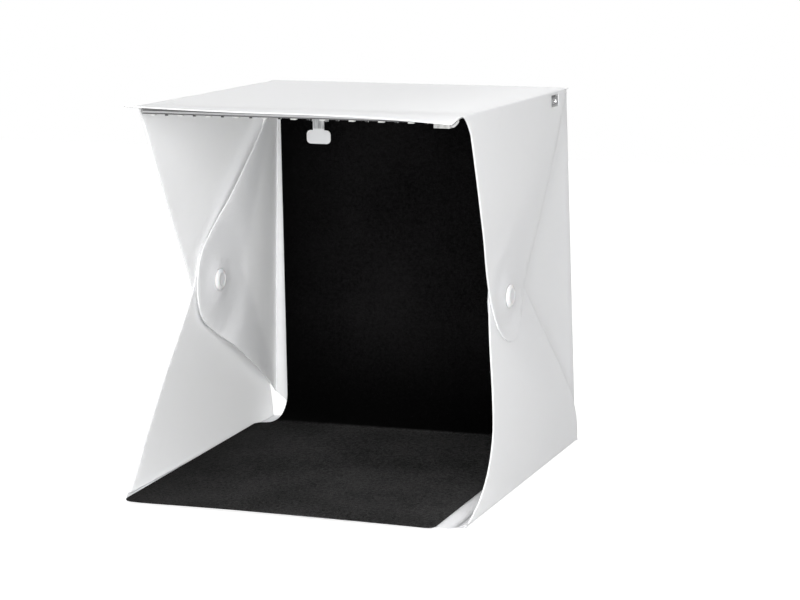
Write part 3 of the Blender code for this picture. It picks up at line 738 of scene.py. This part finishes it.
# side flaps, which bow in to a press stud; a lean or a pull is a slope at the end of a bow
flaps = {
    "snapHeight": 0.120,
    "snapFromBack": 0.117,
    "snapHalf": 0.103,
    "pitch": 0.0022,
    "tips": {"left": 0.031, "right": 0.0285, "back": 0.0325},
    "tipSteps": 36,
    "flareSteps": 14,
    "backTipShift": 0.0020,
    "closeUp": 0.0012,
    "flush": 0.019,
    "overlap": 0.036,
    "single": 0.072,
    "backFollow": 0.30,
    "seat": 0.009,
    "shared": 0.033,
    "soft": 0.055,
    "topFrontInset": 0.0025,
    "topBackInset": 0.007,
    "topFrontLines": {"left": 0.0012, "right": 0.008},
    "topFlareDepth": 0.012,
    "topFlareRun": 0.0065,
    "topFlareDrop": 0.003,
    "topLean": (-0.0015, 0.005),
    "bottomFrontInset": 0.009,
    "bottomBackInset": 0.0018,
    "bottomFrontLine": 0.024,
    "flareHeight": 0.049,
    "flareRun": 0.022,
    "flareRise": 0.008,
    "backOverrun": 0.016,
    "backHeight": 0.040,
    "bottomLean": (0.032, 0.008),
    "bottomPull": (-0.021, -0.006),
    "backFoot": 0.0188,
    "backHead": 0.0035,
    "backLean": -0.026,
    "prongHole": 0.0016,
    "middleHole": 0.0066,
    "edgeAngle": 55,
}
snapY = backY - flaps["snapFromBack"]
snapZ = flaps["snapHeight"]
rootZ = topUnder - sheet["gap"]
# front and back ends of the flaps at their creases
topRoot = (creaseY + flaps["topFrontInset"], backY - flaps["topBackInset"])
bottomRoot = (frontY + flaps["bottomFrontInset"], backY - flaps["bottomBackInset"])

# the power socket's window is cut in the right top flap
socket = {
    "length": 0.0156,
    "height": 0.0077,
    "drop": 0.0013,
    "fromBack": 0.031,
    "reach": 0.01,
}


def tangentAngle(point, center, radius, side):
    toward = Vector(point) - Vector(center)
    return math.atan2(toward.y, toward.x) + side * math.acos(radius / toward.length)


def aroundTip(first, last, center, radius, side=-1):
    # a round tip between the tangents from two points
    start = tangentAngle(first, center, radius, side)
    end = tangentAngle(last, center, radius, -side)
    while side * (end - start) < 0:
        end += side * 2 * math.pi
    return arc(center, radius, start, end, flaps["tipSteps"])


def eased(start, end, lean, pull, share):
    share = limited(share)
    rising = between(start, end, smoothShare(share, 0, 1))
    return rising + lean * (share - 2 * share**2 + share**3) + pull * (share**3 - share**2)


def topBow(y, z):
    # how far the top flap's outer face stands off from its place at the stud
    front, back = topRoot
    lean = between(*flaps["topLean"], (y - front) / (back - front))
    return eased(topHalf - flaps["snapHalf"], 0, lean, 0, (rootZ - z) / (rootZ - snapZ))


def bottomBow(y, z):
    front, back = bottomRoot
    share = limited((y - front) / (back - front))
    lean = between(*flaps["bottomLean"], share)
    pull = between(*flaps["bottomPull"], share)
    flatWidth = flaps["snapHalf"] - flaps["pitch"]
    return eased(baseHalf - flatWidth, 0, lean, pull, (z - floorZ) / (snapZ - floorZ))


def sharedBow(y, z):
    # one bow for the two outer layers, flat under the caps
    bow = bottomBow(y, z) if z < snapZ else topBow(y, z)
    return bow * smoothShare(math.dist((y, z), (snapY, snapZ)), flaps["seat"], flaps["shared"])


def flapPiece(
    name, side, outline, widthAt, rootHalf, toSpace, center, hole, windows=(), finish="sheet"
):
    # outline in (along the crease, away from it); the part before zero runs round the bend
    bm = drawnFace(outline)
    alongs = [vert.co.x for vert in bm.verts]
    aways = [vert.co.y for vert in bm.verts]
    sliced(bm, 0, cells(min(alongs), max(alongs), sheet["cell"]))
    sliced(bm, 1, [-row for row in bendRows])
    sliced(bm, 1, cells(0, max(aways), sheet["cell"]))

    def bowed(along, away):
        if away >= 0:
            return toSpace(side * widthAt(along, bend + away), along, bend + away)
        angle = -away / bend
        half = rootHalf(along) - bend + bend * math.cos(angle)
        return toSpace(side * half, along, bend - bend * math.sin(angle))

    item = sheetPiece(name, bm, bowed, (side, 0, 0), finish)
    reach = flaps["tips"]["back"]
    drill = turned([(-reach, 0), (-reach, hole), (reach, hole), (reach, 0)])
    spot = toSpace(side * flaps["snapHalf"], *center)
    bmesh.ops.translate(drill, verts=drill.verts, vec=spot)
    cutters = [asObject(name + "Drill", drill, "sheet")]
    for low, high in windows:
        cutters.append(asObject(name + "Window", block(low, high), "sheet"))
    cutAndBaked(item, cutters, sheet["edge"], flaps["edgeAngle"])
    return item


def topFlap(sideName, side):
    front, back = topRoot
    stud = tilt.inverted() @ Vector((0, snapY, snapZ))
    edge = topZ - bend
    lift = edge - rootZ
    frontLine = (front + flaps["topFrontLines"][sideName], lift)
    tip = aroundTip(frontLine, (back, lift), (stud.y, edge - stud.z), flaps["tips"][sideName])
    slope = (tip[0][0] - frontLine[0]) / (tip[0][1] - lift)
    flareEnd = (frontLine[0] + slope * flaps["topFlareDepth"], lift + flaps["topFlareDepth"])
    flareRun = min(flaps["topFlareRun"], flaps["topFrontLines"][sideName])
    flareControl = (front + flareRun, lift + flaps["topFlareDrop"])
    outline = [(front, -arcLength)]
    outline += swept((front, 0), flareControl, flareEnd, flaps["flareSteps"])
    outline += [*tip, (back, 0), (back, -arcLength)]
    slip = (stud.z - snapZ) / (rootZ - stud.z)

    def widthAt(y, out):
        z = topZ - out
        away = math.dist((y, z), (stud.y, stud.z))
        near = smoothShare(away, flaps["seat"], flaps["flush"])
        far = smoothShare(-away, -flaps["single"], -flaps["overlap"])
        bow = sharedBow(y, z - slip * (rootZ - z))
        return flaps["snapHalf"] + bow - flaps["closeUp"] * (near * far)

    windows = []
    if side == 1:
        windowY = backY - socket["fromBack"]
        windowTop = rootZ - socket["drop"]
        windowFront = windowY - socket["length"] / 2
        low = (topHalf - socket["reach"], windowFront, windowTop - socket["height"])
        high = (topHalf + socket["reach"], windowY + socket["length"] / 2, windowTop)
        windows.append((low, high))
    item = flapPiece(
        sideName + "TopFlap",
        side,
        outline,
        widthAt,
        lambda y: topHalf,
        lambda x, y, out: (x, y, topZ - out),
        (stud.y, topZ - stud.z),
        flaps["prongHole"],
        windows,
    )
    item.data.transform(tilt)
    start = tilt @ Vector((side * (topHalf - bend), 0, topZ))
    end = tilt @ Vector((side * topHalf, 0, topZ - bend))
    body = sideName + "_top_flap"
    settled(item, body, body, ("top_panel", body, start, end))


def bottomFlap(sideName, side):
    front, back = bottomRoot
    lift = floorZ - bend
    frontLine = (front + flaps["bottomFrontLine"], lift)
    backLine = (back + flaps["backOverrun"], lift)
    tip = aroundTip(frontLine, backLine, (snapY, snapZ - bend), flaps["tips"][sideName])
    slope = (tip[0][0] - frontLine[0]) / (tip[0][1] - lift)
    flareAway = flaps["flareHeight"] - bend
    flareTop = (frontLine[0] + slope * (flareAway - lift), flareAway)
    flareControl = (front + flaps["flareRun"], lift + flaps["flareRise"])
    slope = (tip[-1][0] - backLine[0]) / (tip[-1][1] - lift)
    cornerAway = flaps["backHeight"] - bend
    cornerTop = (backLine[0] + slope * (cornerAway - lift), cornerAway)
    cornerControl = (back, lift + (back - backLine[0]) / slope)
    outline = [(front, -arcLength)]
    outline += swept((front, 0), flareControl, flareTop, flaps["flareSteps"])
    outline += tip
    outline += swept(cornerTop, cornerControl, (back, 0), flaps["flareSteps"])
    outline += [(back, -arcLength)]

    def widthAt(y, out):
        return flaps["snapHalf"] - flaps["pitch"] + sharedBow(y, out)

    item = flapPiece(
        sideName + "BottomFlap",
        side,
        outline,
        widthAt,
        lambda y: baseHalf,
        lambda x, y, out: (x, y, out),
        (snapY, snapZ),
        flaps["middleHole"],
    )
    start = (side * (baseHalf - bend), 0, 0)
    end = (side * baseHalf, 0, bend)
    body = sideName + "_bottom_flap"
    settled(item, body, body, ("base", body, start, end))


def backFlap(sideName, side):
    rootY = backY - sheet["thickness"] - sheet["gap"]
    foot = flaps["backFoot"]
    head = topZ - flaps["backHead"]
    reach = rootY - snapY
    flatWidth = flaps["snapHalf"] - 2 * flaps["pitch"]
    center = (snapZ, backY - bend - snapY - flaps["backTipShift"])
    lift = backY - bend - rootY
    tip = aroundTip((foot, lift), (head, lift), center, flaps["tips"]["back"])
    outline = [(foot, -arcLength), (foot, 0), *tip, (head, 0), (head, -arcLength)]

    def widthAt(z, out):
        y = backY - out
        root = wallHalf(z) - backInset
        width = eased(root, flatWidth, flaps["backLean"], 0, (rootY - y) / reach)
        away = math.dist((y, z), (snapY, snapZ))
        drawn = flaps["closeUp"] * smoothShare(away, flaps["seat"], flaps["flush"])
        held = flatWidth + drawn + flaps["backFollow"] * sharedBow(y, z)
        return between(held, width, smoothShare(away, flaps["shared"], flaps["soft"]))

    item = flapPiece(
        sideName + "BackFlap",
        side,
        outline,
        widthAt,
        lambda z: wallHalf(z) - backInset,
        lambda x, z, out: (x, backY - out, z),
        (snapZ, backY - snapY),
        flaps["prongHole"],
        # the left back flap is painted lighter (painted light), the right one darker (painted shade)
        finish="inner" if side < 0 else "shaded",
    )
    edge = wallHalf(snapZ) - backInset
    start = (side * (edge - bend), backY, snapZ)
    end = (side * edge, backY - bend, snapZ)
    start, end = acrossCrease(start, end, (side * (topHalf - baseHalf) / topZ, 0, 1))
    body = sideName + "_back_flap"
    settled(item, body, body, ("back_panel", body, start, end))


basePanel()
backPanel()
topPanel()
frontLip()
for sideName, side in sides.items():
    topFlap(sideName, side)
    bottomFlap(sideName, side)
    backFlap(sideName, side)
print("creased sheet made")


# press studs; dishSteps are shares of the dish's radius, dome and rimSteps of height and radius
snap = {
    "radius": 0.0075,
    "height": 0.0022,
    "rim": 0.0008,
    "dish": 0.00025,
    "dishRadius": 0.0050,
    "dishSteps": (0.72, 0.78, 0.9, 1.0, 1.04),
    "dome": (0.86, 0.88),
    "rimSteps": (0.8, 0.95),
    "curveSteps": (5, 10, 4),
    "prong": 0.0012,
    "reach": 0.0019,
    "edge": 0.00008,
    "edgeAngle": 30,
}


def capProfile():
    # from the dish in the middle over the dome and round the rim to the prong
    rim = snap["rim"]
    radius = snap["radius"]
    top = snap["height"]
    low = top - snap["dish"]
    flat, wall, lip, crest, dome = [snap["dishRadius"] * share for share in snap["dishSteps"]]
    bulge = (top * snap["dome"][0], radius * snap["dome"][1])
    tuck = (rim * snap["rimSteps"][0], radius * snap["rimSteps"][1])
    dishCurve, domeCurve, rimCurve = snap["curveSteps"]
    points = [(low, 0), (low, flat)]
    points += swept((low, wall), (top, lip), (top, crest), dishCurve)
    points += swept((top, dome), bulge, (rim, radius), domeCurve)[1:]
    points += swept((tuck[0], radius), (0, radius), (0, tuck[1]), rimCurve)
    points += [(0, snap["prong"]), (-snap["reach"], snap["prong"]), (-snap["reach"], 0)]
    return points


def capPiece(sideName, side, kind, facing):
    node = f"{sideName}_snap_{kind}_cap"
    flap = "top" if kind == "outer" else "back"
    low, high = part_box(node)
    bm = turned([(facing * x, r) for x, r in capProfile()])
    nearX, farX = sorted((abs(low.x), abs(high.x)))
    seat = farX - snap["height"] if facing > 0 else nearX + snap["height"]
    bmesh.ops.translate(bm, verts=bm.verts, vec=(seat, 0, 0))
    bmesh.ops.scale(bm, verts=bm.verts, vec=(side, 1, 1))
    bmesh.ops.translate(bm, verts=bm.verts, vec=(0, (low.y + high.y) / 2, (low.z + high.z) / 2))
    bmesh.ops.recalc_face_normals(bm, faces=bm.faces)
    item = baked(asObject(f"{sideName}{kind.capitalize()}Cap", bm, "snap"), snap["edgeAngle"])
    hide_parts(node)
    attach(item, f"{sideName}_{flap}_flap")


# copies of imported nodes: points closer than merge become one, and flat faces are joined
copies = {
    "merge": 0.000005,
    "flatAngle": 1,
}


def dressed(
    name, node, body, finish, slot, edge, segments=2, angle=40, sort=None, reshape=None
):
    # finish lists the materials, and sort picks one of them for each face
    bm = bmesh.new()
    bm.from_mesh(frame["nodes"][node].data)
    flat = math.radians(copies["flatAngle"])
    bmesh.ops.remove_doubles(bm, verts=bm.verts, dist=copies["merge"])
    bmesh.ops.dissolve_limit(bm, angle_limit=flat, verts=bm.verts, edges=bm.edges)
    if reshape:
        reshape(bm)
    bm.normal_update()
    for face in bm.faces:
        face.material_index = finish.index(sort(face)) if sort else 0
    item = asObject(name, bm, *finish)
    bevelled(item, edge, segments, angle)
    baked(item)
    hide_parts(node)
    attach(item, body)


def snapPart(sideName, kind, flap):
    dressed(
        f"{sideName}Snap{kind.capitalize()}",
        f"{sideName}_snap_{kind}",
        f"{sideName}_{flap}_flap",
        ["snap"],
        "snap_plastic",
        snap["edge"],
        angle=snap["edgeAngle"],
    )


for sideName, side in sides.items():
    capPiece(sideName, side, "outer", 1)
    capPiece(sideName, side, "inner", -1)
    snapPart(sideName, "socket", "top")
    snapPart(sideName, "stud", "back")
print("press studs made")


# hooks for the backdrop: a pad on the back panel, a bridge through the slit and a hanging head
hook = {
    "stemWidth": 0.0084,
    "headWidth": 0.0176,
    "headHeight": 0.0094,
    "headRadius": 0.0030,
    "outward": 0.0008,
    "seat": 0.0003,
    "pad": 0.010,
    "bend": 0.0010,
    "bendSteps": 4,
    "bridge": 0.0022,
    "hang": 0.0165,
    "share": 0.667,
    "level": 0.0245,
    "depth": 0.0,
    # the hooks are a darker copy of the white sheet: painted shade
    "tone": 0.93,
    # painted shade on the stems: the height where it starts, and its streaks
    "wearHeight": (0.2072, 0.2082),
    "wearScale": 700,
    "wearStretch": 0.12,
    "wearRange": (0.35, 0.65, 0.35, 0.95),
}


def stemShade(look):
    # greyish streaks down the hooks' stems: painted shade, darker above a set height
    across, depth, height = look.parts(look.place())
    streaked = {0: across, 1: depth, 2: height * hook["wearStretch"]}
    along = look.node("CombineXYZ", inputs=streaked)
    streak = look.speckle(hook["wearScale"], 3, vector=along)
    return look.spread(height, *hook["wearHeight"]) * look.spread(streak, *hook["wearRange"])


def hookPath(along):
    # depth and height of the bent hook at a distance from the top of its pad
    curve = hook["bend"]
    turn = curve * math.pi / 2
    depth = backY - sheet["thickness"] - hook["seat"]
    height = topUnder - hook["level"] + curve + hook["pad"]
    if along <= hook["pad"]:
        return depth, height - along
    along -= hook["pad"]
    height -= hook["pad"]
    if along <= turn:
        angle = along / curve
        return depth - curve * (1 - math.cos(angle)), height - curve * math.sin(angle)
    along -= turn
    depth -= curve
    height -= curve
    if along <= hook["bridge"]:
        return depth - along, height
    along -= hook["bridge"]
    depth -= hook["bridge"]
    if along <= turn:
        angle = along / curve
        return depth - curve * math.sin(angle), height - curve * (1 - math.cos(angle))
    return depth - curve, height - curve - (along - turn)


def hookPiece(sideName, side):
    turn = hook["bend"] * math.pi / 2
    length = hook["pad"] + 2 * turn + hook["bridge"] + hook["hang"]
    neck = length - hook["headHeight"]
    stem = hook["stemWidth"] / 2
    head = hook["headWidth"] / 2
    radius = hook["headRadius"]
    half = [(stem, 0, 0), (stem, neck, 0), (head, neck, radius), (head, length, radius)]
    bm = drawnFace(rounded(mirrored(half)))
    steps = [turn * n / hook["bendSteps"] for n in range(hook["bendSteps"] + 1)]
    sliced(bm, 1, [hook["pad"] + step for step in steps])
    sliced(bm, 1, [hook["pad"] + turn + hook["bridge"] + step for step in steps])
    middle = side * (topHalf * hook["share"] + hook["outward"])

    def toSpace(x, along):
        return (middle + x, *hookPath(along))

    item = sheetPiece(sideName + "Hook", bm, toSpace, (0, 1, 0), "hook")
    settled(softEdged(item), sideName + "_hook", "back_panel")


# the hooks' sheet: darker, with painted shade on the stems
finishes["hook"] = whiteSheet("hookSheet", hook["depth"], hook["tone"], stemShade)
for sideName, side in sides.items():
    hookPiece(sideName, side)
print("hooks made")


# strip of lights; a drop is a depth below the top panel's underside, and resistorExtra is
# added to the height of the resistors
stripLights = {
    "coreDrop": 0.0034,
    "boardDrop": 0.0042,
    "boardSlack": 0.00005,
    "resistorSlack": 0.0001,
    "resistorExtra": 0.0005,
    "wellArea": 0.000008,
    "wellFacing": -0.9,
}


def boardSort(face):
    # resistors stand below the board: dark bodies, tinned ends
    center = tilt.inverted() @ face.calc_center_median()
    if center.z > topUnder - stripLights["boardDrop"] - stripLights["boardSlack"]:
        edge = center.z < topUnder - stripLights["coreDrop"] and abs(face.normal.z) < 0.5
        return "core" if edge else "board"
    return "tin" if abs(face.normal.x) > 0.5 else "resistor"


def boardShape(bm):
    # a seam for the core along the board's edge, and taller resistors
    across = tilt.to_3x3() @ Vector((0, 0, 1))
    slicedAt(bm, tilt @ Vector((0, 0, topUnder - stripLights["coreDrop"])), across)
    below = topUnder - stripLights["boardDrop"] - stripLights["resistorSlack"]
    for vert in bm.verts:
        if (tilt.inverted() @ vert.co).z < below:
            vert.co -= across * stripLights["resistorExtra"]


def ledSort(face):
    # the well in the package's underside is filled with phosphor
    small = face.calc_area() < stripLights["wellArea"] and len(face.verts) == 4
    return "phosphor" if small and face.normal.z < stripLights["wellFacing"] else "case"


boardLook = {"edge": 0.00008, "sort": boardSort, "reshape": boardShape}
ledLook = {"edge": 0.00006, "sort": ledSort}
ledNodes = sorted(name for name in frame["nodes"] if name.startswith("led_"))
stripPieces = [
    ("stripTape", "strip_tape", ["tape"], "foam_tape", {"edge": 0.0001}),
    ("stripBoard", "strip_board", ["board", "resistor", "tin", "core"], "strip_board", boardLook),
    *[(node.replace("_", ""), node, ["case", "phosphor"], "led", ledLook) for node in ledNodes],
    ("stripPlug", "strip_plug", ["plug"], "plug_plastic", {"edge": 0.00015}),
    ("powerLead", "power_lead", ["lead"], "lead", {"edge": 0.00005, "segments": 1, "angle": 70}),
    ("socketBox", "socket_box", ["socket"], "socket_plastic", {"edge": 0.00012}),
    ("socketShell", "socket_shell", ["steel"], "socket_steel", {"edge": 0.00006, "angle": 50}),
    ("socketTongue", "socket_tongue", ["tongue"], "socket_tongue", {"edge": 0.00006}),
]
for name, node, finish, slot, look in stripPieces:
    dressed(name, node, "top_panel", finish, slot, **look)
print("strip of lights and power socket made")


# backdrop: one sheet from its front edge over the floor, round the foot and up to the hooks
backdrop = {
    "thickness": 0.0006,
    "frontLeft": 0.1082,
    "frontRight": 0.0960,
    "backLeft": 0.1116,
    "backRight": 0.0940,
    "overhangLeft": 0.0070,
    "overhangRight": 0.0040,
    "frontRadius": 0.006,
    "shoulderRadius": 0.010,
    "filletRadius": 0.006,
    "creaseLeft": 0.0290,
    "creaseRight": 0.0205,
    "wallHeight": 0.2205,
    "footLeft": 0.0998,
    "footRight": 0.0935,
    "headLeft": 0.1008,
    "headRight": 0.0980,
    "headRadius": 0.004,
    "backGap": 0.0040,
    "footRise": 0.018,
    "footStretch": 1.6,
    "toeRise": 0.004,
    "footSteps": 14,
    "cell": 0.008,
    "slitWidth": 0.0130,
    "slitHeight": 0.0045,
    "slitReach": 0.01,
    "leftLift": (0.0005, 0.0016),
    "liftFrom": 0.086,
    "frontBow": 0.0008,
    "bowShare": 0.28,
    "edge": 0.00012,
    "edgeAngle": 60,
    "sharpAngle": 12,
}
matZ = floorZ + backdrop["thickness"]
backdropY = backY - sheet["thickness"] - backdrop["backGap"]


def creaseAt(x):
    # the foot's crease runs a little askew
    share = (x + backdrop["backLeft"]) / (backdrop["backLeft"] + backdrop["backRight"])
    return backY - between(backdrop["creaseLeft"], backdrop["creaseRight"], share)


def raised(x, y):
    # the floor part lifts along its left edge and bows up in the middle of its front
    back = (y - frontY) / (backY - frontY)
    liftWidth = backdrop["backLeft"] - backdrop["liftFrom"]
    edge = max(0, (-x - backdrop["liftFrom"]) / liftWidth) ** 2
    middle = max(0, 1 - (x / backdrop["backRight"]) ** 2)
    bow = middle * smoothShare(-back, -backdrop["bowShare"], 0)
    return between(*backdrop["leftLift"], back) * edge + backdrop["frontBow"] * bow


def backdropOutline():
    # the flat sheet: floor part, shoulders at the crease, wall part
    b = backdrop
    top = b["wallHeight"]
    return rounded([
        (-b["frontLeft"], frontY - b["overhangLeft"], b["frontRadius"]),
        (b["frontRight"], frontY - b["overhangRight"], b["frontRadius"]),
        (b["backRight"], creaseAt(b["backRight"]), 0),
        (b["footRight"], creaseAt(b["footRight"]), 0),
        (b["headRight"], creaseAt(b["headRight"]) + top, b["headRadius"]),
        (-b["headLeft"], creaseAt(-b["headLeft"]) + top, b["headRadius"]),
        (-b["footLeft"], creaseAt(-b["footLeft"]), b["filletRadius"]),
        (-b["backLeft"], creaseAt(-b["backLeft"]), b["shoulderRadius"]),
    ])


def backdropRows(bm):
    # rows along the crease, close together where the foot sweeps up
    b = backdrop
    slope = (b["creaseLeft"] - b["creaseRight"]) / (b["backLeft"] + b["backRight"])
    square = Vector((-slope, 1, 0)).normalized()
    rows = [b["footRise"] * n / b["footSteps"] for n in range(b["footSteps"] + 1)]
    rows += cells(b["footRise"], b["wallHeight"], b["cell"])
    rows += [-place for place in cells(0, backY - frontY, b["cell"])]
    for row in rows:
        slicedAt(bm, Vector((0, creaseAt(0) + row, 0)), square)
    sliced(bm, 0, cells(-b["backLeft"], b["backRight"], b["cell"]))


def hung(x, y):
    # a point of the flat sheet on the floor, in the sweep or on the wall
    crease = creaseAt(x)
    up = y - crease
    rise = backdrop["footRise"]
    if up <= 0:
        return (x, y, matZ + raised(x, y))
    if up >= rise:
        return (x, backdropY, matZ + up)
    climb = up / rise
    left = (1 - climb) ** 2
    height = 2 * climb * (1 - climb) * backdrop["toeRise"] + climb**2 * rise
    depth = left * crease + (1 - left) * backdropY
    return (x, depth, matZ + height + left * raised(x, crease))


def slitCutter(side):
    middle = side * topHalf * hook["share"]
    level = topUnder - hook["level"]
    reach = backdrop["slitReach"]
    width = backdrop["slitWidth"] / 2
    height = backdrop["slitHeight"] / 2
    low = (middle - width, backdropY - reach, level - height)
    high = (middle + width, backdropY + reach, level + height)
    return asObject("slit", block(low, high), "backdrop")


def backdropSheet():
    b = backdrop
    bm = drawnFace(backdropOutline())
    backdropRows(bm)
    for vert in bm.verts:
        vert.co = hung(vert.co.x, vert.co.y)
    faceOutward(bm, (0, -1, 0))
    flatArea = sum(face.calc_area() for face in bm.faces)
    item = asObject("backdropSheet", bm, "backdrop")
    thickened(item, b["thickness"])
    cutters = [slitCutter(side) for side in sides.values()]
    cutAndBaked(item, cutters, b["edge"], b["edgeAngle"], b["sharpAngle"])
    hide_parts("backdrop_floor", "backdrop_wall")
    floorLength = creaseAt(0) - frontY + b["overhangLeft"]
    length = floorLength + b["footRise"] * b["footStretch"] + b["wallHeight"] - b["footRise"]
    start = (0, creaseAt(0), matZ)
    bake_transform(item)


backdropSheet()
print("backdrop made")


# studio: lights as (name, place, size, power)
studio = {
    "worldLight": 0.28,
    "floorSize": 3.0,
    "floorGrain": (30, 3),
    "floorShades": ((0.41, 0.41, 0.41), (0.43, 0.43, 0.43)),
    "floorRoughness": 0.9,
    "floorWhite": 0.84,
    "floorShade": 0.34,
    "aim": (0, 0, 0.12),
    "lights": [
        ("topLight", (0.0, 0.1, 2.4), 2.2, 11.5),
        ("keyLight", (1.9, -2.1, 0.8), 1.4, 21),
        ("fillLight", (0.32, -0.78, 0.26), 0.6, 8.2),
        ("leftLight", (-2.2, -0.1, 0.9), 1.6, 24),
        ("backLight", (0.2, 1.9, 1.5), 1.6, 14),
    ],
}
plainWhite = (1, 1, 1, 1)


def seenDirectly(look):
    # camera, mirror and clear rays see plain white
    paths = look.node("LightPath").socket.node.outputs
    names = ("Is Camera Ray", "Is Glossy Ray", "Is Transmission Ray")
    first, second, third = [Wire(look.tree, paths[name]) for name in names]
    return first.larger(second).larger(third)


def studioWorld():
    world = bpy.data.worlds.new("studio")
    bpy.context.scene.world = world
    look = Finish("studio", world)
    for old in list(look.tree.nodes):
        look.tree.nodes.remove(old)
    light = look.node("Background", inputs={0: plainWhite, 1: studio["worldLight"]})
    white = look.node("Background", inputs={0: plainWhite, 1: 1.0})
    both = look.node("MixShader", inputs={0: seenDirectly(look), 1: light, 2: white})
    look.node("OutputWorld", inputs={0: both})


def floorWhite():
    # the floor looks white and keeps the object's shadow, and lights the object as a mid grey
    look = Finish("floorWhite")
    look.set(Colour=look.tint(look.speckle(*studio["floorGrain"]), *studio["floorShades"]))
    look.set(Roughness=studio["floorRoughness"], Specular=0.0)
    shade = look.node("BsdfDiffuse", inputs={0: (studio["floorShade"],) * 3 + (1,)})
    glow = look.node("Emission", inputs={0: plainWhite, 1: studio["floorWhite"]})
    seen = look.node("AddShader", inputs={0: shade, 1: glow})
    plain = Wire(look.tree, look.shader.outputs[0])
    both = look.node("MixShader", inputs={0: seenDirectly(look), 1: plain, 2: seen})
    plug(look.tree, look.tree.nodes["Material Output"].inputs[0], both)
    return look.material


def studioFloor():
    finishes["floor"] = floorWhite()
    bm = bmesh.new()
    bmesh.ops.create_grid(bm, x_segments=2, y_segments=2, size=studio["floorSize"] / 2)
    item = asObject("studioFloor", bm, "floor")


def studioLights():
    for name, place, size, power in studio["lights"]:
        data = bpy.data.lights.new(name, "AREA")
        data.shape = "SQUARE"
        data.size = size
        data.energy = power
        item = bpy.data.objects.new(name, data)
        bpy.context.scene.collection.objects.link(item)
        item.location = place
        item.visible_camera = False
        toward = Vector(studio["aim"]) - Vector(place)
        item.rotation_euler = toward.to_track_quat("-Z", "Y").to_euler()


studioWorld()
studioFloor()
studioLights()
bpy.context.scene.view_settings.view_transform = "Standard"
print("studio made")
